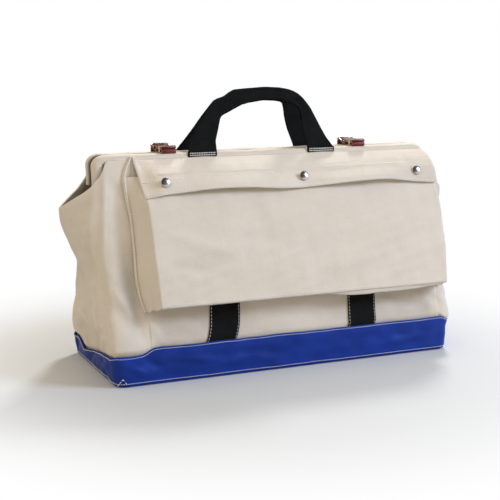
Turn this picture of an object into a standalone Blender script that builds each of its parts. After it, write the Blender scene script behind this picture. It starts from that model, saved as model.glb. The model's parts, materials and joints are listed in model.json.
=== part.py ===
"""Canvas tool bag with a hinged steel mouth frame.

The bag stands on z = 0 with its length along X and its front at -Y.
Sizes are in metres. Every piece is its own object, and a moving piece hangs
on an empty that stands on its hinge axis.
"""
import math

import bmesh
import bpy
from mathutils import Matrix, Vector

# Body of the bag
bag_length = 0.610
bag_depth = 0.245
band_height = 0.056
corner_radius = 0.018
sole_bevel = 0.003
vinyl = 0.0022
canvas = 0.0027
lining = 0.0020
board = 0.006
web = 0.0016
web_width = 0.051
gap = 0.0003
seam_gap = 0.0007
weld = 0.00001
fold_rise = 0.0017
overrun = 0.004

# Webs that run down the panels and under the sole
web_spread = 0.128
web_shift = 0.005
web_top_drop = 0.003

# Mouth frame: two flat steel bows in canvas hems
hem_top = 0.3565
hem_height = 0.008
hem_depth = 0.0268
mouth_gap = 0.0012
hem_wall = 0.0022
strip_width = 0.0240
strip = 0.003
bow_radius = 0.018
bow_arc_steps = 5
sleeve_drop = 0.044
leg_length = 0.090
eye_radius = 0.010
rivet_radius = 0.003
rivet_play = 0.0003
rivet_head_radius = 0.006
rivet_head = 0.0014
rivet_flat_share = 0.6
rivet_edge_share = 0.35

# Top corners of the panels, cut back so that the bows' legs can swing past
corner_cut_width = 0.020
corner_cut_drop = 0.027

# End panels, whose tops fold out as pointed ears
ear_reach = 0.057
ear_drop = 0.089
ear_root_drop = 0.190
ear_round_share = 0.12
end_rows = 14
end_columns = 14

# Pocket and flap on the front
pocket_left = -0.2555
pocket_right = 0.2995
pocket_inset_left = 0.016
pocket_inset_right = 0.010
pocket_bottom = 0.062
pocket_height = 0.214
pocket_depth = 0.033
pocket_wall = 0.0018
pocket_edge = 0.003
flap_left = -0.243
flap_right = 0.297
flap = 0.0018
flap_root_drop = 0.004
flap_lap = 0.042
flap_brow_rise = 0.008
flap_slope_shares = (0.30, 0.62, 0.86)
flap_turn_shares = (0.0, 0.25, 0.5, 0.75, 1.0)

# Snaps
snap_x = (-0.205, 0.040, 0.259)
snap_rise = 0.025
cap_radius = 0.0075
cap_height = 0.0026
cap_edge = 0.0009
cap_turns = (0.0, math.pi / 6, math.pi / 3, math.pi / 2)
socket_radius = 0.0050
socket_wall = 0.0012
socket_height = 0.0011
stud_radius = 0.0030
stud_base_radius = 0.0050
stud_base = 0.0006

# Handles of folded web
handle_spread = 0.1095
handle_shift = -0.0125
handle_base_width = 0.050
handle_web = 0.0022
base_lift = 0.0016
handle_lean = math.radians(12.9)
handle_height = 0.0965
grip_width = 0.026
grip_thickness = 0.005
handle_stations = 25
handle_foot_turns = (math.radians(70), math.radians(45), math.radians(20))
handle_spread_shares = (1.0, 0.93, 0.86, 0.77, 0.66, 0.49, 0.27, 0.0)
handle_rise_shares = (0.0, 0.21, 0.43, 0.62, 0.80, 0.92, 0.98, 1.0)
handle_base_shares = (1.0, 0.79, 0.50, 0.29, 0.25, 0.20, 0.08, 0.0)
handle_fold_shares = (0.0, 0.0, 0.08, 0.24, 0.64, 1.0, 1.0, 1.0)
slope_step_share = 0.01

# Straps and buckles over the mouth
strap_spread = 0.176
strap_shift = -0.004
strap_width = 0.025
leather = 0.0022
tongue = 0.0025
chape_space = 0.0034
chape_front = -0.0262
chape_slot_width = 0.0064
chape_slot_reach = 0.0085
heel_y = 0.0005
buckle_reach = 0.0205
buckle_wire = 0.0014
buckle_side_gap = 0.0008
buckle_corner = 0.003
prong_wire = 0.0013
prong_overhang = 0.0022
collar_wall = 0.0010
collar_width = 0.0045
hole_length = 0.0130
hole_width = 0.0042
tongue_tip = -0.0268
strap_hinge_y = 0.0292
anchor_top_gap = 0.0021
keeper_y = -0.0185
keeper_width = 0.006
keeper_wall = 0.0012
rivet_cap_radius = 0.0038
rivet_cap = 0.0014
rivet_lift = 0.0060
rivet_cap_turns = (0.0, 0.5, 1.0, math.pi / 2)

# Worked out from the sizes above
half_length = bag_length / 2
half_depth = bag_depth / 2
panel_half = half_length - canvas - gap
fold_z = band_height + fold_rise
edge_z = hem_top - hem_height
panel_top_z = edge_z - seam_gap
panel_top_y = hem_depth + canvas + gap
lean = math.atan2(half_depth - panel_top_y, panel_top_z - fold_z)
panel_length = (panel_top_z - fold_z) / math.cos(lean)
sleeve_half = panel_half - seam_gap
strip_centre_z = hem_top - hem_height / 2
strip_near_y = (hem_depth + mouth_gap / 2) / 2
pin_z = strip_centre_z - leg_length
pocket_back = web + 2 * gap
pocket_front = pocket_back + pocket_depth
flap_back = pocket_front + gap + stud_base + socket_height + gap
flap_middle = flap_back + flap / 2
flap_root = pocket_back + flap / 2 + gap
flap_root_v = panel_length - flap_root_drop
pocket_top = pocket_bottom + pocket_height
chape_low = hem_top + gap
chape_high = chape_low + leather + chape_space
tongue_low = chape_high + leather + gap
tongue_mid = tongue_low + tongue / 2
heel_z = chape_low + leather + chape_space / 2
bar_z = tongue_low + tongue + gap + buckle_wire
collar_radius = buckle_wire + gap + collar_wall
handle_hinge_y = hem_depth + gap + handle_web / 2
handle_hinge_z = hem_top + gap + handle_web / 2


def clear_scene():
    for item in list(bpy.data.objects):
        bpy.data.objects.remove(item, do_unlink=True)
    for group in list(bpy.data.collections):
        bpy.data.collections.remove(group)


def new_collection(name):
    group = bpy.data.collections.new(name)
    bpy.context.scene.collection.children.link(group)
    return group


def finish(name, colour, roughness, metallic=0.0):
    made = bpy.data.materials.new(name)
    made.use_nodes = True
    shader = made.node_tree.nodes["Principled BSDF"]
    shader.inputs["Base Color"].default_value = (*colour, 1.0)
    shader.inputs["Roughness"].default_value = roughness
    shader.inputs["Metallic"].default_value = metallic
    made.diffuse_color = (*colour, 1.0)
    return made


def place(item, parent, group):
    group.objects.link(item)
    item.parent = parent
    return item


def hinge(name, location, tilt=0.0, parent=None):
    """An empty on a hinge axis, which always runs along X."""
    item = bpy.data.objects.new(name, None)
    item.location = location
    item.rotation_euler = (tilt, 0.0, 0.0)
    return place(item, parent, parts)


def solid(name, mesh, look, parent=None, smooth=False):
    item = bpy.data.objects.new(name, mesh)
    mesh.materials.append(look)
    if smooth:
        mesh.shade_smooth()
        mesh.set_sharp_from_angle(angle=math.radians(35))
    return place(item, parent, parts)


def cutter(name, mesh, parent=None):
    item = bpy.data.objects.new(name, mesh)
    item.hide_render = True
    item.display_type = "WIRE"
    return place(item, parent, cutters)


def boolean(item, other, operation):
    step = item.modifiers.new(operation.lower(), "BOOLEAN")
    step.operation = operation
    step.solver = "EXACT"
    step.object = other


def bevel(item, width, segments=2, angle=40):
    step = item.modifiers.new("rounded edges", "BEVEL")
    step.width = width
    step.segments = segments
    step.limit_method = "ANGLE"
    step.angle_limit = math.radians(angle)
    return step


def to_mesh(name, built):
    mesh = bpy.data.meshes.new(name)
    bmesh.ops.recalc_face_normals(built, faces=built.faces)
    built.to_mesh(mesh)
    built.free()
    return mesh


def block_mesh(name, low, high, round_upright=0.0):
    """A box from its two corners, with its upright edges rounded if asked."""
    built = bmesh.new()
    bmesh.ops.create_cube(built, size=1.0)
    size = Vector(high) - Vector(low)
    bmesh.ops.scale(built, vec=size, verts=built.verts)
    bmesh.ops.translate(built, vec=(Vector(low) + Vector(high)) / 2, verts=built.verts)
    if round_upright > 0:
        upright = [e for e in built.edges if abs((e.verts[0].co - e.verts[1].co).normalized().z) > 0.99]
        bmesh.ops.bevel(
            built, geom=upright, offset=round_upright, segments=4, profile=0.5, affect="EDGES"
        )
    return to_mesh(name, built)


def loft_mesh(name, sections):
    """Skin a row of like rings of points, and close the first and the last."""
    built = bmesh.new()
    rings = [[built.verts.new(point) for point in ring] for ring in sections]
    for near, far in zip(rings, rings[1:]):
        for i in range(len(near)):
            j = (i + 1) % len(near)
            built.faces.new((near[i], near[j], far[j], far[i]))
    built.faces.new(rings[0])
    built.faces.new(rings[-1])
    return to_mesh(name, built)


def sheet_mesh(name, rows):
    """An open surface over a grid of points."""
    built = bmesh.new()
    grid = [[built.verts.new(point) for point in row] for row in rows]
    for near, far in zip(grid, grid[1:]):
        for i in range(len(near) - 1):
            built.faces.new((near[i], near[i + 1], far[i + 1], far[i]))
    mesh = bpy.data.meshes.new(name)
    built.to_mesh(mesh)
    built.free()
    return mesh


def cylinder_mesh(name, radius, low, high, sides=20):
    """A round bar along X from low to high."""
    built = bmesh.new()
    turn = Matrix.Rotation(math.pi / 2, 4, "Y")
    shift = Matrix.Translation(((low + high) / 2, 0, 0))
    bmesh.ops.create_cone(
        built, cap_ends=True, segments=sides, radius1=radius, radius2=radius, depth=high - low,
        matrix=shift @ turn,
    )
    return to_mesh(name, built)


def turned(name, profile, look, parent, location, rotation, steps=20):
    """Turn a profile of (radius, height) points, given from its top to its foot."""
    mesh = bpy.data.meshes.new(name)
    points = [(radius, 0.0, height) for radius, height in profile]
    mesh.from_pydata(points, [(i, i + 1) for i in range(len(points) - 1)], [])
    item = solid(name, mesh, look, parent)
    item.location = location
    item.rotation_euler = rotation
    screw = item.modifiers.new("turn", "SCREW")
    screw.steps = steps
    screw.render_steps = steps
    screw.use_merge_vertices = True
    screw.merge_threshold = weld
    return item


def wire_mesh(name, points, radius, cyclic):
    """A bent wire as a mesh, from a curve with a round bevel."""
    curve = bpy.data.curves.new(name, "CURVE")
    curve.dimensions = "3D"
    curve.bevel_depth = radius
    curve.bevel_resolution = 2
    curve.use_fill_caps = not cyclic
    line = curve.splines.new("POLY")
    line.points.add(len(points) - 1)
    for spot, point in zip(line.points, points):
        spot.co = (*point, 1.0)
    line.use_cyclic_u = cyclic
    holder = bpy.data.objects.new(name, curve)
    cutters.objects.link(holder)
    bpy.context.view_layer.update()
    ready = holder.evaluated_get(bpy.context.evaluated_depsgraph_get())
    mesh = bpy.data.meshes.new_from_object(ready)
    bpy.data.objects.remove(holder)
    built = bmesh.new()
    built.from_mesh(mesh)
    bmesh.ops.remove_doubles(built, verts=built.verts, dist=weld)
    return to_mesh(name, built)


def along(values, share):
    """Read an evenly spaced list at a share of its length, smoothly."""
    place_in = share * (len(values) - 1)
    i = min(int(place_in), len(values) - 2)
    t = place_in - i
    before = values[max(i - 1, 0)]
    after = values[min(i + 2, len(values) - 1)]
    first = (values[i + 1] - before) / 2
    last = (after - values[i]) / 2
    return (
        (2 * t**3 - 3 * t**2 + 1) * values[i]
        + (t**3 - 2 * t**2 + t) * first
        + (3 * t**2 - 2 * t**3) * values[i + 1]
        + (t**3 - t**2) * last
    )


def tray(name, inset, wall, floor, look, foot_bevel=0.0):
    """A box open at the top, with rounded upright corners."""
    half_x = half_length - inset
    half_y = half_depth - inset
    radius = corner_radius - inset
    outer = block_mesh(name, (-half_x, -half_y, inset), (half_x, half_y, band_height), radius)
    item = solid(name, outer, look)
    inner = block_mesh(
        name + "_space",
        (-half_x + wall, -half_y + wall, inset + floor),
        (half_x - wall, half_y - wall, band_height + overrun),
        radius - wall,
    )
    if foot_bevel > 0:
        feet = [e for e in outer.edges if all(abs(outer.vertices[i].co.z - inset) < gap for i in e.vertices)]
        built = bmesh.new()
        built.from_mesh(outer)
        built.edges.ensure_lookup_table()
        ring = [built.edges[e.index] for e in feet]
        bmesh.ops.bevel(built, geom=ring, offset=foot_bevel, segments=2, profile=0.5, affect="EDGES")
        built.to_mesh(outer)
        built.free()
    boolean(item, cutter(name + "_space", inner), "DIFFERENCE")
    return item


def build_base():
    tray("vinyl_bottom", 0.0, vinyl, vinyl, blue, sole_bevel)
    under = vinyl + gap
    tray("canvas_base", under + web + gap, lining, lining, cream)
    floor = under + web + gap + lining + gap
    wall = under + web + gap + lining + gap
    low = (-half_length + wall, -half_depth + wall, floor)
    high = (half_length - wall, half_depth - wall, floor + board)
    solid("base_board", block_mesh("base_board", low, high, corner_radius - wall), kraft)
    for side, tag in ((-1, "left"), (1, "right")):
        centre = web_shift + side * web_spread
        outer = half_depth - under
        outline = [
            (-outer, band_height - gap), (-outer, under), (outer, under), (outer, band_height - gap),
            (outer - web, band_height - gap), (outer - web, under + web),
            (-outer + web, under + web), (-outer + web, band_height - gap),
        ]
        ends = [centre - web_width / 2, centre + web_width / 2]
        rings = [[(x, y, z) for y, z in outline] for x in ends]
        solid("web_under_" + tag, loft_mesh("web_under", rings), black)


def half_width_at(z):
    return half_depth - (z - fold_z) * math.tan(lean)


def build_end_panel(side, tag):
    """The end canvas: flat below, and drawn out to an ear whose rim dips to its tip."""
    face = panel_half + gap
    tip_z = edge_z - ear_drop
    rim_top_z = panel_top_z - corner_cut_drop * math.cos(lean)
    root_z = edge_z - ear_root_drop
    rows = []
    for i in range(end_rows + 1):
        row = []
        for j in range(end_columns + 1):
            across = 2 * j / end_columns - 1
            swing = (math.sqrt(across**2 + ear_round_share**2) - ear_round_share) / (
                math.sqrt(1 + ear_round_share**2) - ear_round_share
            )
            rim = tip_z + (rim_top_z - tip_z) * swing
            z = fold_z + (rim - fold_z) * i / end_rows
            climb = min(max((z - root_z) / (tip_z - root_z), 0.0), 1.0)
            swell = climb * climb * (3 - 2 * climb)
            x = side * (face + ear_reach * swell * (1 - swing))
            row.append((x, across * half_width_at(z), z))
        rows.append(row)
    if side > 0:
        rows = [row[::-1] for row in rows]
    item = solid("end_panel_" + tag, sheet_mesh("end_panel", rows), cream, smooth=True)
    wall = item.modifiers.new("canvas", "SOLIDIFY")
    wall.thickness = canvas
    wall.offset = -1.0


def build_panel(face, out, fold):
    """A panel and its two webs, in the frame of its fold line."""
    step_x = panel_half - corner_cut_width
    outline = [
        (-panel_half, 0.0), (panel_half, 0.0), (panel_half, panel_length - corner_cut_drop),
        (step_x, panel_length), (-step_x, panel_length), (-panel_half, panel_length - corner_cut_drop),
    ]
    rings = [[(x, y, v) for x, v in outline] for y in (0.0, -out * canvas)]
    solid(face + "_panel", loft_mesh(face + "_panel", rings), cream, fold)
    near = out * gap
    far = out * (gap + web)
    for side, tag in ((-1, "left"), (1, "right")):
        foot = web_shift + side * web_spread
        head = handle_shift + side * handle_spread
        rings = []
        for x, half, v in (
            (foot, web_width / 2, 0.0),
            (head, handle_base_width / 2, panel_length - web_top_drop),
        ):
            rings.append([(x - half, near, v), (x + half, near, v), (x + half, far, v), (x - half, far, v)])
        solid("%s_web_%s" % (face, tag), loft_mesh("web", rings), black, fold)


def pocket_ring(v, wall, foot, lap):
    """The pocket's plan at one height, inset by a wall."""
    left = pocket_left + wall
    right = pocket_right - wall
    front = pocket_front - wall
    return [
        (left - foot * pocket_inset_left / pocket_depth * lap, -(pocket_back - lap), v),
        (left + pocket_inset_left, -front, v),
        (right - pocket_inset_right, -front, v),
        (right + foot * pocket_inset_right / pocket_depth * lap, -(pocket_back - lap), v),
    ]


def build_pocket(fold):
    """A box pocket with side gussets, open at the top and sewn on by its back edge."""
    outer = loft_mesh("pocket", [pocket_ring(v, 0.0, 0, 0.0) for v in (pocket_bottom, pocket_top)])
    item = solid("pocket", outer, cream, fold)
    heights = (pocket_bottom + pocket_wall, pocket_top + overrun)
    inner = loft_mesh("pocket_space", [pocket_ring(v, pocket_wall, 1, overrun) for v in heights])
    bevel(item, pocket_edge)
    boolean(item, cutter("pocket_space", inner, fold), "DIFFERENCE")
    for x, tag in zip(snap_x, ("left", "middle", "right")):
        v = pocket_foot_of_flap() + snap_rise
        foot = pocket_front + gap
        profile = [
            (0.0, socket_height + stud_base), (stud_radius, socket_height + stud_base),
            (stud_radius, stud_base), (stud_base_radius, stud_base), (stud_base_radius, 0.0), (0.0, 0.0),
        ]
        turned("snap_stud_" + tag, profile, nickel, fold, (x, -foot, v), (math.pi / 2, 0, 0))


def pocket_foot_of_flap():
    return pocket_top - flap_lap


def flap_line():
    """The flap's section from its seam, over the pocket's mouth and down its front, as (v, w)."""
    brow = pocket_top + flap_brow_rise
    start = (flap_root_v, flap_root)
    shoulder = (brow, flap_middle - flap_brow_rise)
    foot = pocket_foot_of_flap()
    points = [start]
    for share in flap_slope_shares:
        v = start[0] + (shoulder[0] - start[0]) * share
        w = start[1] + (shoulder[1] - start[1]) * share
        points.append((v, w))
    for turn_share in flap_turn_shares:
        angle = turn_share * math.pi / 2
        v = brow - flap_brow_rise + flap_brow_rise * math.cos(angle)
        w = flap_middle - flap_brow_rise + flap_brow_rise * math.sin(angle)
        points.append((v, w))
    points.append(((brow - flap_brow_rise + foot) / 2, flap_middle))
    points.append((foot, flap_middle))
    return points


def build_flap(fold):
    axis = hinge("flap_hinge", (0, -flap_root, flap_root_v), 0.0, fold)
    line = [(v - flap_root_v, w - flap_root) for v, w in flap_line()]
    rows = [[(flap_left, -w, v), (flap_right, -w, v)] for v, w in line]
    item = solid("pocket_flap", sheet_mesh("pocket_flap", rows), cream, axis)
    wall = item.modifiers.new("canvas", "SOLIDIFY")
    wall.thickness = flap
    wall.offset = 0.0
    wall.use_even_offset = True
    height = pocket_foot_of_flap() + snap_rise - flap_root_v
    outer_face = flap_back + flap - flap_root
    inner_face = flap_back - flap_root
    shell = cap_radius - cap_edge
    for x, tag in zip(snap_x, ("left", "middle", "right")):
        dome = [(shell * math.sin(a), cap_edge + (cap_height - cap_edge) * math.cos(a))
                for a in cap_turns]
        profile = dome + [(cap_radius, cap_edge), (cap_radius, 0.0), (0.0, 0.0)]
        spot = (x, -(outer_face + gap), height)
        turned("snap_cap_" + tag, profile, nickel, axis, spot, (math.pi / 2, 0, 0))
        ring = [
            (socket_radius - socket_wall, socket_height), (socket_radius, socket_height),
            (socket_radius, gap), (socket_radius - socket_wall, gap), (socket_radius - socket_wall, socket_height),
        ]
        base = (x, -(inner_face - socket_height - gap), height)
        turned("snap_socket_" + tag, ring, nickel, axis, base, (math.pi / 2, 0, 0))


def bow_path(half, drop, radius):
    """Points and directions of a bow from its left leg over the top to its right leg."""
    top = strip_centre_z
    path = [((-half, top - drop), (0.0, 1.0))]
    for corner, start in ((-1, math.pi), (1, math.pi / 2)):
        centre = (corner * (half - radius), top - radius)
        for i in range(bow_arc_steps + 1):
            angle = start - i * math.pi / 2 / bow_arc_steps
            spot = (centre[0] + radius * math.cos(angle), centre[1] + radius * math.sin(angle))
            path.append((spot, (math.sin(angle), -math.cos(angle))))
    path.append(((half, top - drop), (0.0, -1.0)))
    return path


def bow_sections(path, near, far, thick):
    """Rings of a flat bar that keeps its width across Y along the path."""
    rings = []
    for (x, z), (dx, dz) in path:
        nx, nz = -dz * thick / 2, dx * thick / 2
        rings.append([
            (x - nx, near, z - nz), (x - nx, far, z - nz), (x + nx, far, z + nz), (x + nx, near, z + nz),
        ])
    return rings


def build_bow(face, out, half, axis):
    """A steel bow with a hinge eye at each leg, in its canvas hem."""
    shift = -pin_z
    middle = out * strip_near_y
    near = middle - strip_width / 2
    far = middle + strip_width / 2
    steel_path = bow_path(half, leg_length, bow_radius)
    mesh = loft_mesh(face + "_bow", bow_sections(steel_path, near, far, strip))
    mesh.transform(Matrix.Translation((0, 0, shift)))
    item = solid(face + "_bow", mesh, steel, axis)
    for side in (-1, 1):
        low = side * half - strip / 2
        high = side * half + strip / 2
        name = "%s_eye_%d" % (face, side)
        boolean(item, cutter(name, cylinder_mesh(name, eye_radius, low, high), axis), "UNION")
    for side in (-1, 1):
        low = side * half - strip
        high = side * half + strip
        name = "%s_bore_%d" % (face, side)
        bore = cylinder_mesh(name, rivet_radius + rivet_play, low, high)
        boolean(item, cutter(name, bore, axis), "DIFFERENCE")
    hem_path = bow_path(half, sleeve_drop, bow_radius)
    near_hem = out * hem_depth
    far_hem = out * mouth_gap / 2
    skin = loft_mesh(face + "_hem", bow_sections(hem_path, near_hem, far_hem, hem_height))
    skin.transform(Matrix.Translation((0, 0, shift)))
    hem = solid(face + "_hem", skin, cream, axis)
    hollow_path = bow_path(half, sleeve_drop + overrun, bow_radius)
    clear = strip + 2 * gap
    hollow = loft_mesh(
        face + "_hem_space", bow_sections(hollow_path, near - gap, far + gap, clear)
    )
    hollow.transform(Matrix.Translation((0, 0, shift)))
    boolean(hem, cutter(face + "_hem_space", hollow, axis), "DIFFERENCE")
    for side, tag in ((-1, "left"), (1, "right")):
        centre = handle_shift + side * handle_spread
        inner = out * (hem_depth + gap)
        outer = out * (hem_depth + gap + handle_web)
        low = (centre - handle_base_width / 2, min(inner, outer), edge_z + base_lift + shift)
        high = (centre + handle_base_width / 2, max(inner, outer), hem_top + shift)
        name = "%s_handle_base_%s" % (face, tag)
        solid(name, block_mesh(name, low, high), black, axis)


def build_rivets(axis):
    """The two rivets that join the bows' eyes."""
    outer = sleeve_half - hem_height / 2 + strip / 2
    inner = outer - 2 * strip - gap
    for side, tag in ((-1, "left"), (1, "right")):
        length = outer - inner
        stem = length / 2 + gap
        profile = [
            (0.0, stem + rivet_head), (rivet_head_radius * rivet_flat_share, stem + rivet_head),
            (rivet_head_radius, stem + rivet_head * rivet_edge_share), (rivet_head_radius, stem),
            (rivet_radius, stem), (rivet_radius, -stem), (rivet_head_radius, -stem),
            (rivet_head_radius, -stem - rivet_head * rivet_edge_share),
            (rivet_head_radius * rivet_flat_share, -stem - rivet_head), (0.0, -stem - rivet_head),
        ]
        centre = side * (outer + inner) / 2
        turned("hinge_rivet_" + tag, profile, steel, axis, (centre, 0, 0), (0, math.pi / 2, 0))


def build_handle(face, out, bow_axis):
    """A web loop: wide where it leaves the hem, folded to a narrow grip on top."""
    spot = (0, out * handle_hinge_y, handle_hinge_z - pin_z)
    axis = hinge(face + "_handle_hinge", spot, out * handle_lean, bow_axis)
    spread = [share * handle_spread for share in handle_spread_shares]
    rise = [share * handle_height for share in handle_rise_shares]
    broad = [grip_width + share * (handle_base_width - grip_width) for share in handle_base_shares]
    thick = [handle_web + share * (grip_thickness - handle_web) for share in handle_fold_shares]
    sections = []
    for i in range(handle_stations):
        share = 2 * i / (handle_stations - 1)
        side = -1 if share <= 1 else 1
        here = share if share <= 1 else 2 - share
        back = max(here - slope_step_share, 0.0)
        ahead = min(here + slope_step_share, 1.0)
        dx = side * (along(spread, ahead) - along(spread, back))
        dz = along(rise, ahead) - along(rise, back)
        run = math.hypot(dx, dz)
        nx, nz = -dz / run, dx / run
        x = handle_shift + side * along(spread, here)
        z = along(rise, here)
        half = along(broad, here) / 2
        deep = along(thick, here) / 2
        if side > 0:
            nx, nz = -nx, -nz
        if here == 0:
            nx, nz = side, 0.0
        sections.append([
            (x + nx * half, -deep, z + nz * half), (x - nx * half, -deep, z - nz * half),
            (x - nx * half, deep, z - nz * half), (x + nx * half, deep, z + nz * half),
        ])
    feet = []
    for side in (-1, 1):
        x = handle_shift + side * handle_spread
        ends = (x - handle_base_width / 2, x + handle_base_width / 2)
        foot = []
        for turn in handle_foot_turns:
            deep, z = handle_web / 2 * math.cos(turn), -handle_web / 2 * math.sin(turn)
            foot.append([
                (ends[0], -deep, z), (ends[1], -deep, z), (ends[1], deep, z), (ends[0], deep, z),
            ])
        feet.append(foot)
    rings = feet[0] + sections + [[ring[1], ring[0], ring[3], ring[2]] for ring in feet[1][::-1]]
    solid(face + "_handle", loft_mesh(face + "_handle", rings), black, axis)


def side_outline(name, outline, centre, half, drop, shift_y, look, axis):
    """Extrude an outline of (y, z) points across X, and set it in its axis's frame."""
    rings = [[(x, y - shift_y, z - drop) for y, z in outline] for x in (centre - half, centre + half)]
    return solid(name, loft_mesh(name, rings), look, axis)


def build_strap(side, tag, front_axis, back_axis):
    """A strap over the mouth: anchor and tongue on the back bow, chape and buckle on the front."""
    centre = strap_shift + side * strap_spread
    half = strap_width / 2
    fold_out = chape_space / 2 + leather
    fold_in = chape_space / 2
    arc = [math.pi / 2 - i * math.pi / 6 for i in range(7)]
    outline = [(chape_front, chape_high + leather)]
    outline += [(heel_y + fold_out * math.cos(a), heel_z + fold_out * math.sin(a)) for a in arc]
    outline += [(chape_front, chape_low), (chape_front, chape_low + leather)]
    outline += [(heel_y + fold_in * math.cos(a), heel_z + fold_in * math.sin(a)) for a in arc[::-1]]
    outline += [(chape_front, chape_high)]
    name = "buckle_chape_" + tag
    chape = side_outline(name, outline, centre, half, pin_z, 0.0, tan, front_axis)
    slot = block_mesh(
        name + "_slot",
        (centre - chape_slot_width / 2, heel_y - chape_slot_reach, heel_z - collar_radius - gap - pin_z),
        (centre + chape_slot_width / 2, heel_y + fold_out + gap, chape_high + leather + gap - pin_z),
    )
    boolean(chape, cutter(name + "_slot", slot, front_axis), "DIFFERENCE")

    keeper_half = half + gap + keeper_wall
    low = chape_low + leather + gap
    high = tongue_low + tongue + gap + keeper_wall
    name = "strap_keeper_" + tag
    near = keeper_y - keeper_width / 2
    far = keeper_y + keeper_width / 2
    ring = block_mesh(name, (centre - keeper_half, near, low - pin_z), (centre + keeper_half, far, high - pin_z))
    keeper = solid(name, ring, steel, front_axis)
    inside = half + gap
    space = block_mesh(
        name + "_space",
        (centre - inside, near - overrun, low + keeper_wall - pin_z),
        (centre + inside, far + overrun, high - keeper_wall - pin_z),
    )
    boolean(keeper, cutter(name + "_space", space, front_axis), "DIFFERENCE")

    buckle_axis = hinge("buckle_hinge_" + tag, (centre, heel_y, heel_z - pin_z), 0.0, front_axis)
    wide = half + buckle_side_gap + buckle_wire
    rise = bar_z - heel_z
    reach = math.hypot(buckle_reach, rise)
    tilt = math.atan2(rise, buckle_reach)
    path = []
    for cx, cy, start in (
        (wide - buckle_corner, 0.0, None), (wide - buckle_corner, reach - buckle_corner, 0.0),
        (-wide + buckle_corner, reach - buckle_corner, math.pi / 2), (-wide + buckle_corner, 0.0, None),
    ):
        if start is None:
            corner = wide if cx > 0 else -wide
            path.append((corner, 0.0))
            continue
        for i in range(4):
            angle = start + i * math.pi / 6
            path.append((cx + buckle_corner * math.cos(angle), cy + buckle_corner * math.sin(angle)))
    points = [(x, s * math.cos(tilt), s * math.sin(tilt)) for x, s in path]
    solid("buckle_frame_" + tag, wire_mesh("buckle", points, buckle_wire, True), nickel, buckle_axis, True)

    prong_axis = hinge("prong_hinge_" + tag, (0, 0, 0), 0.0, buckle_axis)
    rest_z = rise + buckle_wire + gap + prong_wire
    rest = Vector((0, buckle_reach, rest_z))
    start_at = rest.normalized() * (collar_radius - collar_wall / 2)
    tip = rest * (1 + prong_overhang / rest.length)
    prong = solid("prong_" + tag, wire_mesh("prong", [start_at, tip], prong_wire, False), nickel, prong_axis)
    ring = cylinder_mesh("prong_collar_" + tag, collar_radius, -collar_width / 2, collar_width / 2, 16)
    boolean(prong, cutter("prong_collar_" + tag, ring, prong_axis), "UNION")
    bore = cylinder_mesh("prong_bore_" + tag, buckle_wire + gap, -collar_width, collar_width, 16)
    boolean(prong, cutter("prong_bore_" + tag, bore, prong_axis), "DIFFERENCE")

    strap_axis = hinge("strap_hinge_" + tag, (centre, strap_hinge_y, tongue_mid - pin_z), 0.0, back_axis)
    name = "strap_" + tag
    low = (-half, tongue_tip - strap_hinge_y, -tongue / 2)
    high = (half, 0.0, tongue / 2)
    strap = solid(name, block_mesh(name, low, high), oxblood, strap_axis)
    slope = rest_z / buckle_reach
    hole_y = heel_y + (tongue_mid - heel_z) / slope - strap_hinge_y
    hole = block_mesh(
        name + "_hole",
        (-hole_width / 2, hole_y - hole_length / 2, -tongue),
        (hole_width / 2, hole_y + hole_length / 2, tongue),
    )
    boolean(strap, cutter(name + "_hole", hole, strap_axis), "DIFFERENCE")

    name = "strap_anchor_" + tag
    near = hem_depth + gap
    low = (centre - half, near, edge_z + base_lift - pin_z)
    high = (centre + half, near + leather, tongue_mid - anchor_top_gap - pin_z)
    solid(name, block_mesh(name, low, high), oxblood, back_axis)
    dome = [(rivet_cap_radius * math.sin(a), rivet_cap * math.cos(a)) for a in rivet_cap_turns]
    profile = dome + [(0.0, 0.0)]
    spot = (centre, near + leather + gap, edge_z + rivet_lift - pin_z)
    turned("strap_rivet_" + tag, profile, nickel, back_axis, spot, (-math.pi / 2, 0, 0), 16)


clear_scene()
parts = new_collection("canvas_tool_bag")
cutters = new_collection("cutters")
cream = finish("natural canvas", (0.74, 0.68, 0.58), 0.9)
blue = finish("blue vinyl", (0.02, 0.05, 0.32), 0.4)
black = finish("black web", (0.012, 0.014, 0.013), 0.8)
kraft = finish("fibre board", (0.30, 0.21, 0.13), 0.85)
steel = finish("zinc plated steel", (0.55, 0.55, 0.54), 0.35, 1.0)
nickel = finish("nickel plate", (0.66, 0.65, 0.62), 0.22, 1.0)
oxblood = finish("oxblood leather", (0.17, 0.025, 0.02), 0.45)
tan = finish("tan leather", (0.36, 0.20, 0.10), 0.6)

build_base()
build_end_panel(-1, "left")
build_end_panel(1, "right")
front_fold = hinge("front_fold", (0, -half_depth, fold_z), -lean)
back_fold = hinge("back_fold", (0, half_depth, fold_z), lean)
build_panel("front", -1, front_fold)
build_panel("back", 1, back_fold)
build_pocket(front_fold)
build_flap(front_fold)
pins = hinge("frame_pins", (0, 0, pin_z))
front_axis = hinge("front_bow_hinge", (0, 0, 0), 0.0, pins)
back_axis = hinge("back_bow_hinge", (0, 0, 0), 0.0, pins)
front_half = sleeve_half - hem_height / 2
build_bow("front", -1, front_half, front_axis)
build_bow("back", 1, front_half - strip - gap, back_axis)
build_rivets(pins)
build_handle("front", -1, front_axis)
build_handle("back", 1, back_axis)
build_strap(-1, "left", front_axis, back_axis)
build_strap(1, "right", front_axis, back_axis)
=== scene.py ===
import json
import math

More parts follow.
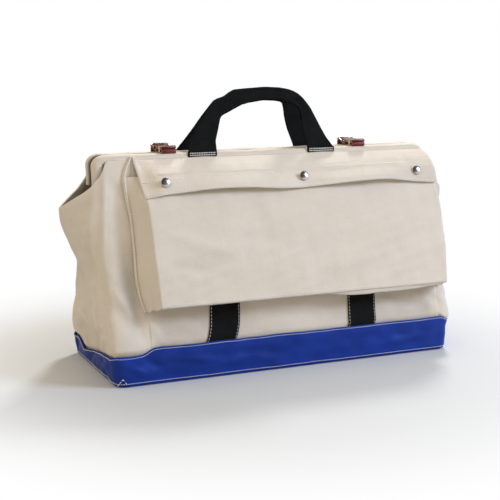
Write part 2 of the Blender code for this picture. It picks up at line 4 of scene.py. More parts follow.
import bmesh
import bpy
import numpy as np
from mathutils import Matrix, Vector


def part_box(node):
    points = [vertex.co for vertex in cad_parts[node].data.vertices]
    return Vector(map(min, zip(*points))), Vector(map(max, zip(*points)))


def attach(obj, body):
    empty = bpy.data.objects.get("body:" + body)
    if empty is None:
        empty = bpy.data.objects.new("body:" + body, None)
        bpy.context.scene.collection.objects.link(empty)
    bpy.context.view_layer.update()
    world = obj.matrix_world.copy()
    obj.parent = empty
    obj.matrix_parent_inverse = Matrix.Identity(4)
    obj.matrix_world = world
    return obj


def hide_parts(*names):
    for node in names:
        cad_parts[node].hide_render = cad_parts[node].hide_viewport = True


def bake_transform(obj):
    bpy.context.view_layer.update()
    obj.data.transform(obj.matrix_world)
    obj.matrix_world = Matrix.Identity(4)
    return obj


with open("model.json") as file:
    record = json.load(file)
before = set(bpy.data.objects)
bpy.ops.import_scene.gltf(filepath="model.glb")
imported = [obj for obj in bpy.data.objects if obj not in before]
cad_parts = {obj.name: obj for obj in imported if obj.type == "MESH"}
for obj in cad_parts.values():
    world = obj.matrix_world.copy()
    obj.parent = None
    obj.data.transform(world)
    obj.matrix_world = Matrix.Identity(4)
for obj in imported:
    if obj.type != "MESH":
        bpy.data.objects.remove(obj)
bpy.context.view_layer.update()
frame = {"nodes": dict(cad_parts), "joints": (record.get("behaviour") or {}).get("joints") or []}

# Canvas tool bag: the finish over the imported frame, in metres.
# The bag lies along X with its pocket at -Y. On a panel x runs along the bag, v up from the fold
# and w out from the face. out is -1 at the front and 1 at the back, side is -1 at the left end.

# Places read from the frame
joints = {joint["name"]: joint for joint in frame["joints"]}
halfLength, halfDepth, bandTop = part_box("vinyl_bottom")[1]
foldZ = joints["front_side_lean"]["pos_m"][2]
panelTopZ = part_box("front_panel")[1].z
hemLow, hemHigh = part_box("front_hem")
hemTop, hemDepth, hemHalf = hemHigh.z, -hemLow.y, hemHigh.x
canvasThick = 0.0027
hemGap = 0.0003
lean = math.atan2(halfDepth - hemDepth - canvasThick - hemGap, panelTopZ - foldZ)
cosLean, sinLean = math.cos(lean), math.sin(lean)
panelLength = (panelTopZ - foldZ) / cosLean
faces = (("front", -1), ("back", 1))
sides = (("left", -1), ("right", 1))


# Small helpers for arrays
def softStep(low, high, value):
    # 0 below low, 1 above high, and a smooth S between
    t = np.clip((value - low) / (high - low), 0, 1)
    return t * t * (3 - 2 * t)


def bump(value, centre, width):
    # a bell of height 1 at centre that falls off over width
    return np.exp(-((value - centre) / width) ** 2)


def ripple(x, y, seed, wave):
    # seven plane waves of random direction and phase, summed to about -1..1; wave is their length
    dice = np.random.default_rng(seed)
    turns, phases = dice.uniform(0, math.tau, 7), dice.uniform(0, math.tau, 7)
    total = 0
    for turn, phase, stretch in zip(turns, phases, dice.uniform(0.6, 1.7, 7)):
        k = math.tau / (wave * stretch)
        total = total + np.sin(k * (x * math.cos(turn) + y * math.sin(turn)) + phase)
    return total / 3.2


def creases(x, y, rows):
    # folds along straight lines; a row holds the start's x and y, the end's, the width, the height
    # and how lopsided the fold is. Each fades like a bell over its width, and at both ends.
    total = 0
    for ax, ay, bx, by, width, height, *lopsided in rows:
        length = math.hypot(bx - ax, by - ay)
        dx, dy = (bx - ax) / length, (by - ay) / length
        far = (x - ax) * dx + (y - ay) * dy
        off = ((x - ax) * -dy + (y - ay) * dx) / width
        inside = (far > 0) & (far < length)
        fade = np.where(inside, np.sin(math.pi * np.clip(far / length, 0, 1)) ** 0.7, 0)
        tilt = 1 + sum(lopsided) * np.tanh(off)
        total = total + height * fade * np.exp(-off ** 2) * tilt
    return total


def knots(value, places, heights):
    # reads a row of given heights, rounded off between its knots
    spread = np.linspace(places[0], places[-1], 400)
    line = np.interp(spread, places, heights)
    for _ in range(3):
        line = np.convolve(np.pad(line, 8, mode="edge"), np.ones(17) / 17, mode="valid")
    return np.interp(value, spread, line)


def unit(vectors):
    return vectors / np.maximum(np.linalg.norm(vectors, axis=-1, keepdims=True), 1e-9)


def grid(*parts):
    # coordinates given apart, spread over one grid and joined
    return np.stack(np.broadcast_arrays(*parts), axis=-1)


def flipped(flip, *grids):
    # the grids with their columns the other way round, so that a sheet faces outward
    return [g[:, ::-1] if flip else g for g in grids]


def walk(points):
    # the length walked to each point of a line
    steps = np.linalg.norm(np.diff(points, axis=0), axis=1)
    return np.concatenate([[0], np.cumsum(steps)])


def spacing(points):
    # lengths walked along both ways of a grid, as a map of the cloth in metres
    down = np.linalg.norm(np.diff(points, axis=0), axis=-1)
    across = np.linalg.norm(np.diff(points, axis=1), axis=-1)
    u = np.concatenate([np.zeros((points.shape[0], 1)), np.cumsum(across, axis=1)], axis=1)
    v = np.concatenate([np.zeros((1, points.shape[1])), np.cumsum(down, axis=0)], axis=0)
    return np.stack([u - u[:, :1].mean(), v], axis=-1)


def resample(points, pitch):
    # points every pitch along a line, the directions there and the share of the way to each
    walked = walk(points)
    count = max(int(walked[-1] / pitch), 1)
    at = (np.arange(count) + 0.5) * walked[-1] / count
    spots, ahead, behind = (
        np.stack([np.interp(at + shift, walked, points[:, i]) for i in range(3)], axis=1)
        for shift in (0, pitch / 4, -pitch / 4))
    return spots, unit(ahead - behind), at / walked[-1]


def corners(halfX, halfY, radius, middleY, angles):
    # four rounded corners of a rectangle, counter-clockwise from the one at low y and high x
    line = []
    for sx, sy, start in ((1, -1, -0.5), (1, 1, 0.0), (-1, 1, 0.5), (-1, -1, 1.0)):
        turn = start * math.pi + angles
        line.append(np.stack([sx * (halfX - radius) + radius * np.cos(turn),
                              middleY + sy * (halfY - radius) + radius * np.sin(turn)], axis=1))
    return np.concatenate(line)


# Small helpers for meshes
def meshFrom(name, verts, loops, cornerUv=None):
    mesh = bpy.data.meshes.new(name)
    mesh.from_pydata(verts, [], loops)
    if cornerUv is not None:
        layer = mesh.uv_layers.new(name="cloth")
        layer.data.foreach_set("uv", np.asarray(cornerUv, np.float32).ravel())
    made = bmesh.new()
    made.from_mesh(mesh)
    bmesh.ops.recalc_face_normals(made, faces=made.faces)
    made.to_mesh(mesh)
    made.free()
    mesh.polygons.foreach_set("use_smooth", [True] * len(mesh.polygons))
    mesh.update()
    return mesh


def pieceFrom(mesh, look, body, replaces=(), extra=()):
    piece = bpy.data.objects.new(mesh.name, mesh)
    bpy.context.scene.collection.objects.link(piece)
    for material in (look, *extra):
        mesh.materials.append(material)
    if body:
        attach(piece, body)
    if replaces:
        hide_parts(*replaces)
    return piece


def quads(number):
    return np.stack([number[:-1, :-1], number[1:, :-1], number[1:, 1:], number[:-1, 1:]], axis=-1)


def sheetMesh(name, points, thick, uv=None):
    # cloth of real thickness: the grid is its face, the back lies thick inside it (by the cross
    # product of the grid's two directions), and a round rim joins them
    rows, cols = points.shape[:2]
    uv = spacing(points) if uv is None else uv
    normals = unit(np.cross(np.gradient(points, axis=0), np.gradient(points, axis=1)))
    flatPoints, flatBack = points.reshape(-1, 3), (points - thick * normals).reshape(-1, 3)
    number = np.arange(rows * cols).reshape(rows, cols)
    loop = np.concatenate([number[0, :-1], number[:-1, -1], number[-1, :0:-1], number[:0:-1, 0]])
    last = np.array([rows - 2, cols - 2]).reshape(2, 1, 1)
    near = np.clip(np.indices((rows, cols)), 1, last)
    away = unit(flatPoints[loop] - points[near[0], near[1]].reshape(-1, 3)[loop])
    rim = (flatPoints[loop] + flatBack[loop]) / 2 + away * thick * 0.45
    front = quads(number).reshape(-1, 4)
    total = rows * cols
    ring = np.arange(len(loop)) + 2 * total
    nextLoop, nextRing = np.roll(loop, -1), np.roll(ring, -1)
    rimFront = np.stack([loop, nextLoop, nextRing, ring], axis=-1)
    rimBack = np.stack([ring, nextRing, nextLoop + total, loop + total], axis=-1)
    loops = np.concatenate([front, front[:, ::-1] + total, rimFront, rimBack])
    flatUv = uv.reshape(-1, 2)
    allUv = np.concatenate([flatUv, flatUv, flatUv[loop]])
    verts = np.concatenate([flatPoints, flatBack, rim])
    return meshFrom(name, verts, loops.tolist(), allUv[loops.ravel()])


def addShade(mesh, values):
    # paints shade into the cloth's first vertices, those of its face, making them darker by the given
    # shares
    full = np.zeros(len(mesh.vertices), np.float32)
    full[:values.size] = values.ravel()
    mesh.attributes.new("shade", "FLOAT", "POINT").data.foreach_set("value", full)


def tubeMesh(name, rings, closed=False):
    # skins a row of rings; its ends are capped unless the row closes on itself
    rows, size = rings.shape[:2]
    number = np.arange(rows * size).reshape(rows, size)
    number = np.concatenate([number, number[:1]]) if closed else number
    step = np.concatenate([rings, rings[:, :1]], axis=1)
    step = np.concatenate([step, step[:1]]) if closed else step
    uv = spacing(step)
    listed = quads(np.concatenate([number, number[:, :1]], axis=1)).reshape(-1, 4).tolist()
    corner = np.stack([uv[:-1, :-1], uv[1:, :-1], uv[1:, 1:], uv[:-1, 1:]], axis=2).reshape(-1, 2)
    if not closed:
        listed += [number[0].tolist(), number[-1].tolist()]
        corner = np.concatenate([corner, uv[0, :-1], uv[-1, :-1]])
    return meshFrom(name, rings.reshape(-1, 3), listed, corner)


def wireMesh(name, path, radius, count, closed=False):
    # a wire of the given radius along a bent line
    if closed:
        way = np.roll(path, -1, axis=0) - np.roll(path, 1, axis=0)
    else:
        way = np.gradient(path, axis=0)
    way = unit(way)
    one = unit(np.cross(way, np.array([0.31, 0.77, 0.56])))[:, None]
    two = np.cross(way[:, None], one)
    turn = (np.arange(count) * math.tau / count)[None, :, None]
    rings = path[:, None] + radius * np.cos(turn) * one + radius * np.sin(turn) * two
    return tubeMesh(name, rings, closed)


# Stitching: each stitch is a short thread, a six-sided bead of four rings that dips in at its ends
stitchLook = {"pitch": 0.0052, "share": 0.66, "thread": 0.00055, "along": (-1.0, -0.62, 0.62, 1.0),
              "girth": (0.45, 1.0, 1.0, 0.45), "sink": (-0.9, 0.0, 0.0, -0.9)}


def stitchMesh(name, rows, pitch=stitchLook["pitch"], thread=stitchLook["thread"]):
    # rows holds a line of points and the way out from the cloth, one for all or one for each
    along, girth, sink = (np.array(stitchLook[key]) for key in ("along", "girth", "sink"))
    turn = np.arange(6) * math.tau / 6
    bead = [[i * 6 + j, i * 6 + j + 6, i * 6 + 6 + (j + 1) % 6, i * 6 + (j + 1) % 6]
            for i in range(3) for j in range(6)] + [list(range(6)), list(range(18, 24))]
    verts, loops, total = [], [], 0
    for points, normals in rows:
        points = np.asarray(points, float)
        spots, way, share = resample(points, pitch)
        normals = np.broadcast_to(normals, points.shape)
        at = np.linspace(0, 1, len(normals))
        up = unit(np.stack([np.interp(share, at, normals[:, i]) for i in range(3)], axis=1))
        beside = unit(np.cross(way, up))
        half = pitch * stitchLook["share"] / 2
        verts.append((
            spots[:, None, None]
            + (along * half)[None, :, None, None] * way[:, None, None]
            + (sink * thread)[None, :, None, None] * up[:, None, None]
            + (girth[:, None] * thread * np.cos(turn))[None, :, :, None] * beside[:, None, None]
            + (girth[:, None] * thread * np.sin(turn))[None, :, :, None] * up[:, None, None]
        ).reshape(-1, 3))
        for k in range(len(spots)):
            loops += [[total + k * 24 + i for i in loop] for loop in bead]
        total += len(spots) * 24
    return meshFrom(name, np.concatenate(verts), loops)


# Materials
class Nodes:
    # short ways to add to a node tree: a value is a number, a tuple or another node's output
    def __init__(self, tree):
        self.tree = tree

    def feed(self, socket, value):
        if isinstance(value, bpy.types.NodeSocket):
            self.tree.links.new(value, socket)
        else:
            socket.default_value = value

    def add(self, kind, inputs=None, **settings):
        made = self.tree.nodes.new("ShaderNode" + kind)
        for key, value in settings.items():
            setattr(made, key, value)
        for key, value in (inputs or {}).items():
            self.feed(made.inputs[key], value)
        return made

    def math(self, operation, *values):
        return self.add("Math", dict(enumerate(values)), operation=operation).outputs[0]

    def dot(self, way, fixed):
        made = self.add("VectorMath", {0: way, 1: fixed}, operation="DOT_PRODUCT")
        return made.outputs["Value"]

    def total(self, *terms):
        # the terms are (value, weight) pairs
        parts = [value if weight == 1 else self.math("MULTIPLY", value, weight)
                 for value, weight in terms]
        result = parts[0]
        for part in parts[1:]:
            result = self.math("ADD", result, part)
        return result

    def ramp(self, source, *stops):
        made = self.add("ValToRGB", {"Fac": source})
        bar = made.color_ramp
        for element, (place, colour) in zip(bar.elements, (stops[0], stops[-1])):
            element.position, element.color = place, (*colour, 1)
        for place, colour in stops[1:-1]:
            bar.elements.new(place).color = (*colour, 1)
        return made.outputs["Color"]

    def mix(self, share, first, second):
        inputs = {"Factor": share, "A": first, "B": second}
        return self.add("Mix", inputs, data_type="RGBA").outputs["Result"]

    def blend(self, share, first, second):
        return self.add("MixShader", {0: share, 1: first, 2: second}).outputs[0]


lookSockets = {"specular": "Specular IOR Level", "sheen": "Sheen Weight",
               "sheenRough": "Sheen Roughness"}


class Look(Nodes):
    # a material under construction, with its colours and relief laid over the object's own space
    def __init__(self, name, colour, roughness, metallic=0.0, **more):
        self.material = bpy.data.materials.new(name)
        self.material.use_nodes = True
        super().__init__(self.material.node_tree)
        self.shader = self.tree.nodes["Principled BSDF"]
        self.set("Base Color", (*colour, 1.0))
        self.set("Roughness", roughness)
        self.set("Metallic", metallic)
        for key, value in more.items():
            self.set(lookSockets[key], value)
        self.place = self.add("TexCoord").outputs["Object"]

    def set(self, key, value):
        self.feed(self.shader.inputs[key], value)

    def noise(self, scale, detail=3.0, rough=0.55, stretch=None, where=None):
        where = where or self.place
        if stretch:
            where = self.add("Mapping", {"Vector": where, "Scale": stretch}).outputs["Vector"]
        inputs = {"Vector": where, "Scale": scale, "Detail": detail, "Roughness": rough}
        return self.add("TexNoise", inputs).outputs["Fac"]

    def cells(self, scale):
        inputs = {"Vector": self.place, "Scale": scale}
        return self.add("TexVoronoi", inputs).outputs["Distance"]

    def clothMap(self):
        return self.add("UVMap", uv_map="cloth").outputs["UV"]

    def weave(self, cloth, pitchU, pitchV):
        # a plain weave: |sin u| |sin v| for the threads, cos u cos v for which of them is on top
        split = self.add("SeparateXYZ", {0: cloth})
        u = self.math("MULTIPLY", split.outputs["X"], math.pi / pitchU)
        v = self.math("MULTIPLY", split.outputs["Y"], math.pi / pitchV)
        over = [self.math("ABSOLUTE", self.math("SINE", turn)) for turn in (u, v)]
        taking = self.math("MULTIPLY", self.math("COSINE", u), self.math("COSINE", v))
        return self.total((self.math("MULTIPLY", *over), 1), (taking, 0.35))

    def relief(self, *layers):
        # each layer is (height, depth in metres, strength), the coarse ones first
        under = None
        for height, depth, strength in layers:
            inputs = {"Height": height, "Distance": depth, "Strength": strength}
            if under:
                inputs["Normal"] = under
            under = self.add("Bump", inputs).outputs["Normal"]
        self.set("Normal", under)


canvasLook = {"light": (0.775, 0.702, 0.612), "dull": (0.715, 0.638, 0.543),
              "fleck": (0.30, 0.22, 0.13), "flecks": 0.55, "fleckSize": 0.035,
              "thread": 0.00105, "weaveDepth": 0.00020, "creaseDepth": 0.0030,
              "rumpleDepth": 0.0011, "roughness": 0.92}


def makeCanvas(name, tint=1.0):
    # undyed cotton duck: a plain weave with slubs, a soft mottle and a few seed flecks
    look = Look(name, canvasLook["light"], canvasLook["roughness"],
                sheen=0.12, sheenRough=0.6, specular=0.2)
    cloth = look.clothMap()
    weave = look.weave(cloth, canvasLook["thread"], canvasLook["thread"])
    slubs = look.total(*((look.noise(1.0, 2, stretch=stretch, where=cloth), 0.5)
                         for stretch in ((70, 900, 1), (900, 70, 1))))
    fine = look.noise(620, 3)
    tone = look.total((slubs, 0.28), (look.noise(22, 4), 0.30), (fine, 0.42))
    dull, light = (tuple(c * tint for c in canvasLook[key]) for key in ("dull", "light"))
    colour = look.ramp(tone, (0.38, dull), (0.60, light))
    # the attribute named shade darkens the colour by its share: painted shade in the hems' slit,
    # round the pocket, on the far end and on the flap's right end
    shade = look.add("Attribute", attribute_name="shade").outputs["Fac"]
    inputs = {0: colour, "Scale": look.math("SUBTRACT", 1.0, shade)}
    colour = look.add("VectorMath", inputs, operation="SCALE").outputs["Vector"]
    spot = look.math("LESS_THAN", look.cells(62), canvasLook["fleckSize"])
    rare = look.math("GREATER_THAN", look.noise(31, 1), 0.60)
    share = look.total((look.math("MULTIPLY", spot, rare), canvasLook["flecks"]))
    look.set("Base Color", look.mix(share, colour, (*canvasLook["fleck"], 1)))
    look.relief((look.noise(13, 5, 0.5), canvasLook["creaseDepth"], 0.7),
                (look.noise(44, 4), canvasLook["rumpleDepth"], 0.7),
                (look.total((weave, 1), (fine, 1.1), (slubs, 0.9)), canvasLook["weaveDepth"], 0.85))
    return look.material


vinylLook = {"colour": (0.0062, 0.038, 0.310), "deep": (0.0042, 0.029, 0.235), "roughness": 0.42,
             "gloss": 0.26, "scuffs": 0.28, "specular": 0.22, "grain": 0.00012, "dents": 0.0030}


def makeVinyl():
    # coated cloth: a fine grain over the dents of the cloth below, scuffed patches that shine less
    look = Look("blueVinyl", vinylLook["colour"], vinylLook["roughness"],
                specular=vinylLook["specular"])
    look.set("Base Color", look.ramp(look.noise(16, 5), (0.32, vinylLook["deep"]),
                                     (0.66, vinylLook["colour"])))
    scuffs = look.noise(45, 6, 0.65)
    look.set("Roughness", look.total((scuffs, vinylLook["scuffs"]), (vinylLook["gloss"], 1)))
    look.relief((look.noise(17, 3, 0.45), vinylLook["dents"], 0.75),
                (look.total((look.cells(950), 1), (look.noise(600, 2), 1)), vinylLook["grain"], 0.7))
    return look.material


webLook = {"colour": (0.0030, 0.0034, 0.0032), "wornSheen": (0.0120, 0.0132, 0.0124),
           "rib": 0.0024, "warp": 0.0016, "depth": 0.0009}


def makeWeb():
    # close woven web: ribs across its width, split by warp threads, with lighter tops that are partly
    # wear and partly painted sheen on the ribs
    look = Look("blackWeb", webLook["colour"], 0.78, sheen=0.02, specular=0.12)
    weave = look.weave(look.clothMap(), webLook["warp"], webLook["rib"])
    tone = look.math("MULTIPLY", look.total((weave, 1), (0.3, 1)), look.noise(60, 4))
    look.set("Base Color", look.ramp(tone, (0.10, webLook["colour"]), (0.75, webLook["wornSheen"])))
    look.relief((look.total((weave, 1), (look.noise(900, 2), 0.5)), webLook["depth"], 0.9))
    return look.material


def makeLeather(name, colour, deep, roughness):
    # strap leather: pores and fine creases, darker where it was handled
    look = Look(name, colour, roughness)
    cloudy = look.noise(130, 5)
    look.set("Base Color", look.ramp(cloudy, (0.30, deep), (0.65, colour)))
    look.set("Roughness", look.total((cloudy, 0.2), (roughness - 0.1, 1)))
    look.relief((look.total((look.cells(1300), 1), (look.noise(260, 4), 1)), 0.00016, 0.8))
    return look.material


def makeMetal(name, colour, dull, roughness, scratch=0.12):
    # plated metal: faint cloud in the plating and hairline scratches in its gloss
    look = Look(name, colour, roughness, 1.0)
    look.set("Base Color", look.ramp(look.noise(240, 4), (0.3, dull), (0.6, colour)))
    hair = look.noise(1.0, 3, stretch=(180, 2600, 2600))
    look.set("Roughness", look.total((hair, scratch), (roughness - scratch / 2, 1)))
    look.relief((hair, 0.00003, 0.5))
    return look.material


def makeGrained(name, colour, stops, scale, detail, rough, depth, strength):
    # thread and board: one noise gives both the colour and the relief
    look = Look(name, colour, 0.85)
    grain = look.noise(scale, detail, rough)
    look.set("Base Color", look.ramp(grain, *stops))
    look.relief((grain, depth, strength))
    return look.material


def makeThread(name, colour, deep):
    return makeGrained(name, colour, ((0.3, deep), (0.65, colour)), 1500, 2, 0.55, 0.0001, 0.7)


canvas = makeCanvas("naturalCanvas")
# the liner's canvas: the same canvas painted 10% darker, painted shade for the inside of the bag
shadedInnerCanvas = makeCanvas("shadedInnerCanvas", 0.9)
vinyl = makeVinyl()
web = makeWeb()
oxblood = makeLeather("oxbloodLeather", (0.190, 0.019, 0.011), (0.110, 0.010, 0.006), 0.42)
tanLeather = makeLeather("tanLeather", (0.42, 0.24, 0.13), (0.30, 0.16, 0.08), 0.62)
nickel = makeMetal("nickelPlate", (0.78, 0.77, 0.74), (0.62, 0.61, 0.58), 0.24)
# a darker nickel whose only use is painted shade at the snap caps' edges
shadedNickel = makeMetal("shadedEdgeNickel", (0.30, 0.29, 0.27), (0.18, 0.175, 0.165), 0.34)
zinc = makeMetal("zincPlatedSteel", (0.56, 0.56, 0.55), (0.44, 0.44, 0.44), 0.36, 0.2)
whiteThread = makeThread("whiteThread", (0.88, 0.88, 0.88), (0.72, 0.72, 0.72))
creamThread = makeThread("creamThread", (0.90, 0.91, 0.92), (0.76, 0.76, 0.76))
board = makeGrained("fibreBoard", (0.30, 0.21, 0.13),
                    ((0.3, (0.22, 0.15, 0.09)), (0.7, (0.34, 0.25, 0.16))), 300, 6, 0.7, 0.0003, 0.6)


def setLook(look, *nodes):
    # the solids that stay visible get their material
    for name in nodes:
        frame["nodes"][name].data.materials[0] = look


print("materials ready")


# The leaning panels, and the vinyl's top edge that they pass behind
def onPanel(x, v, w, out=-1):
    y = out * (halfDepth - v * sinLean + w * cosLean)
    return grid(x, y, foldZ + v * cosLean + w * sinLean)


def panelOut(out=-1):
    return np.array([0, out * cosLean, sinLean])


band = {"rise": 0.0028, "backDip": -0.0200, "farDip": -0.0060, "uneven": 0.0007,
        "frontX": (-0.330, -0.305, -0.290, -0.272, -0.258, -0.250, -0.243, -0.230, -0.200),
        "frontDip": (-0.0070, -0.0085, -0.0100, -0.0105, -0.0092, -0.0045, -0.0008, 0.0, 0.0),
        "endY": (-0.125, -0.100, -0.053, -0.006, 0.032, 0.056, 0.064, 0.070, 0.078, 0.105, 0.125),
        "endDip": (-0.0085, -0.0140, -0.0160, -0.0250, -0.0333, -0.0358, -0.0330, -0.0240,
                   -0.0215, -0.0235, -0.0200)}


def bandEdge(x, y):
    # height of the vinyl's top edge: cut low round the left end, dipping at the right one
    end = softStep(-0.293, -0.304, x)
    dip = softStep(-0.085, -0.112, y) * (1 - end) * knots(x, band["frontX"], band["frontDip"])
    dip = dip + end * knots(y, band["endY"], band["endDip"])
    behind = softStep(0.085, 0.112, y) * softStep(-0.235, -0.300, x)
    dip = dip + behind * (1 - end) * band["backDip"]
    dip = dip + band["farDip"] * softStep(0.285, 0.303, x) * (1 + 0.5 * np.sin(y * 40 + 1))
    return bandTop + band["rise"] + dip + band["uneven"] * ripple(x, y, 31, 0.14)


# Each fold here and below is a row for creases
panel = {"foot": -0.046, "left": -0.247, "right": 0.286, "back": 0.262,
         "puff": 0.0085, "soft": 0.0013, "bellow": 0.0016, "tuck": 0.0048, "wrinkle": 0.00045,
         "ridge": 0.0022, "groove": 0.0034,
         "ridgeV": (0.085, 0.120, 0.149, 0.179, 0.214, 0.249, 0.281, 0.305),
         "ridgeX": (-0.314, -0.313, -0.3105, -0.3060, -0.3010, -0.2970, -0.2930, -0.2910),
         "frontFolds": ((-0.3135, 0.112, -0.3050, 0.072, 0.0022, -0.0036),
                        (-0.300, 0.100, -0.276, 0.050, 0.010, 0.0046, 0.5),
                        (-0.268, 0.085, -0.262, 0.012, 0.008, -0.0040),
                        (-0.250, 0.050, -0.225, 0.004, 0.008, 0.0030),
                        (0.170, 0.060, 0.268, 0.022, 0.012, -0.0050),
                        (0.205, 0.018, 0.285, 0.040, 0.008, 0.0030),
                        (0.250, 0.062, 0.296, 0.020, 0.008, -0.0030),
                        (-0.090, 0.014, 0.030, 0.030, 0.010, 0.0018),
                        (-0.060, 0.040, 0.060, 0.026, 0.010, -0.0016),
                        (-0.215, 0.045, -0.160, 0.020, 0.010, 0.0020)),
         "backFolds": ((-0.20, 0.06, -0.05, 0.16, 0.022, 0.0022),
                       (0.22, 0.08, 0.06, 0.20, 0.020, 0.0020),
                       (-0.10, 0.24, 0.12, 0.20, 0.024, 0.0016))}
# Shares of painted shade by which the canvas is darker: low down under the pocket, left of the
# pocket, at the far end, on the flap's right end
paintedShade = {"low": 0.18, "strip": 0.42, "farEnd": 0.12, "flapEnd": 0.09}


def tuck(z, edge):
    # how far the canvas steps in to pass behind the vinyl's top edge
    return -panel["tuck"] * softStep(0.008, -0.001, z - edge)


def panelRelief(x, v, out=-1):
    # how far the canvas stands off its plane: puffed low at the ends, waved and folded between,
    # stepped in behind the vinyl, and upright below the fold
    ends = bump(x, -0.292, 0.026) + 0.35 * bump(x, 0.290, 0.035)
    relief = panel["puff"] * bump(v, 0.022, 0.030) * ends
    relief = relief + panel["soft"] * ripple(x, v * 1.4, 11 if out < 0 else 12, 0.16)
    relief = relief - panel["bellow"] * bump(v, 0.034, 0.022) * (1 - bump(x, -0.29, 0.05))
    if out < 0:
        strip = softStep(0.085, 0.130, v)
        ridge = bump(x, knots(v, panel["ridgeV"], panel["ridgeX"]), 0.0050)
        groove = bump(x, -0.278, 0.0095) * softStep(0.285, 0.250, v)
        relief = relief + (panel["ridge"] * ridge - panel["groove"] * groove) * strip
    relief = relief + creases(x, v, panel["frontFolds" if out < 0 else "backFolds"])
    relief = relief + panel["wrinkle"] * ripple(x, v, 13 if out < 0 else 14, 0.034)
    z = foldZ + v * cosLean
    edge = bandEdge(x, out * halfDepth + 0 * x)
    calm = softStep(panelLength, panelLength - 0.04, v) * softStep(-0.001, 0.010, z - edge)
    return relief * calm + tuck(z, edge) + np.minimum(v, 0) * math.tan(lean)


def foldWithPanel(piece):
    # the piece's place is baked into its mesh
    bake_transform(piece)


def makePanel(face, out):
    low, high = (panel["left"], panel["right"]) if out < 0 else (-panel["back"], panel["back"])
    x = np.linspace(low, high, 161)[None, :]
    v = np.linspace(panel["foot"], panelLength, 91)[:, None]
    # painted shade from the pocket: a little darker low down on the front, more so towards both ends
    dark = paintedShade["low"] * (out < 0) * softStep(0.075, 0.052, v) * (1 - 0.75 * bump(x, 0.02, 0.13))
    dark = dark * softStep(low - 0.001, low + 0.026, x) * softStep(high, high - 0.024, x)
    points = onPanel(x, v, panelRelief(x, v, out), out)
    points, uv, dark = flipped(out < 0, points, grid(x, v), dark)
    mesh = sheetMesh(face + "PanelCanvas", points, canvasThick, uv)
    addShade(mesh, dark)
    piece = pieceFrom(mesh, canvas, None, (face + "_panel",))
    foldWithPanel(piece)


for face, out in faces:
    makePanel(face, out)


# The end canvases, each in a front and a back half that meet at the ear's ridge. The heights in z
# go with the corner's place, the ear's tip and the corner's radius.
ear = {"z": (0.0, 0.030, 0.058, 0.100, 0.160, 0.200, 0.236, 0.262, 0.295, 0.325, 0.350),
       "cornerX": (0.305, 0.308, 0.313, 0.3145, 0.3135, 0.3095, 0.3045, 0.3005, 0.2970, 0.2935,
                   0.2915),
       "tipX": (0.305, 0.310, 0.316, 0.320, 0.318, 0.337, 0.3515, 0.3595, 0.3590, 0.3575, 0.3560),
       "corner": (0.007, 0.007, 0.008, 0.014, 0.018, 0.016, 0.012, 0.010, 0.008, 0.006, 0.005),
       "cornerRim": (-0.060, -0.020, -0.008, -0.004, -0.001, 0.003, 0.007, 0.012),
       "cornerRimZ": (0.3478, 0.3478, 0.3476, 0.3460, 0.3400, 0.3300, 0.3225, 0.3175),
       "rimShare": (0.0, 0.07, 0.15, 0.30, 0.50, 0.70, 1.0),
       "rimZ": (0.3175, 0.3112, 0.3062, 0.2985, 0.2900, 0.2815, 0.2705),
       "round": 0.10, "seam": 0.012, "pleat": 0.0110, "welt": 0.0028, "tuck": 1.4,
       "soft": 0.0014, "wrinkle": 0.0006,
       "pleatZ": (0.020, 0.028, 0.040, 0.054, 0.066, 0.076, 0.082, 0.089, 0.097, 0.112, 0.128,
                  0.150, 0.160),
       "pleatY": (0.032, 0.030, 0.026, 0.019, 0.009, 0.003, 0.008, 0.026, 0.045, 0.063, 0.075,
                  0.085, 0.088),
       "folds": ((-0.070, 0.060, -0.015, 0.170, 0.009, 0.0034),
                 (-0.090, 0.120, -0.030, 0.210, 0.011, -0.0036),
                 (-0.100, 0.120, -0.085, 0.052, 0.007, 0.0036, -0.6),
                 (0.080, 0.130, 0.020, 0.200, 0.010, 0.0030),
                 (-0.10, 0.085, -0.055, 0.025, 0.007, 0.0040),
                 (-0.075, 0.090, -0.040, 0.030, 0.006, -0.0034),
                 (-0.034, 0.345, -0.074, 0.075, 0.0065, 0.0056, 0.4),
                 (-0.020, 0.250, -0.052, 0.120, 0.014, -0.0036),
                 (-0.036, 0.315, -0.006, 0.215, 0.009, -0.0030),
                 (-0.030, 0.305, 0.010, 0.225, 0.008, 0.0026),
                 (-0.050, 0.265, -0.020, 0.185, 0.006, 0.0022))}


def endRelief(y, z, side):
    # folds of an end canvas: a sharp pleat down to the band, soft ones up to the ear
    folds = ear["soft"] * ripple(y, z, 21 + side, 0.11) * softStep(0.35, 0.30, z)
    folds = folds + ear["wrinkle"] * ripple(y, z, 24 + side, 0.036)
    behind = y - knots(z, ear["pleatZ"], ear["pleatY"])
    pleat = softStep(0.0, 0.0045, behind) * softStep(0.080, 0.020, behind)
    pleat = ear["pleat"] * pleat - ear["welt"] * bump(behind, -0.004, 0.0055)
    return folds - bump(z, 0.080, 0.042) * pleat + creases(y, z, ear["folds"])


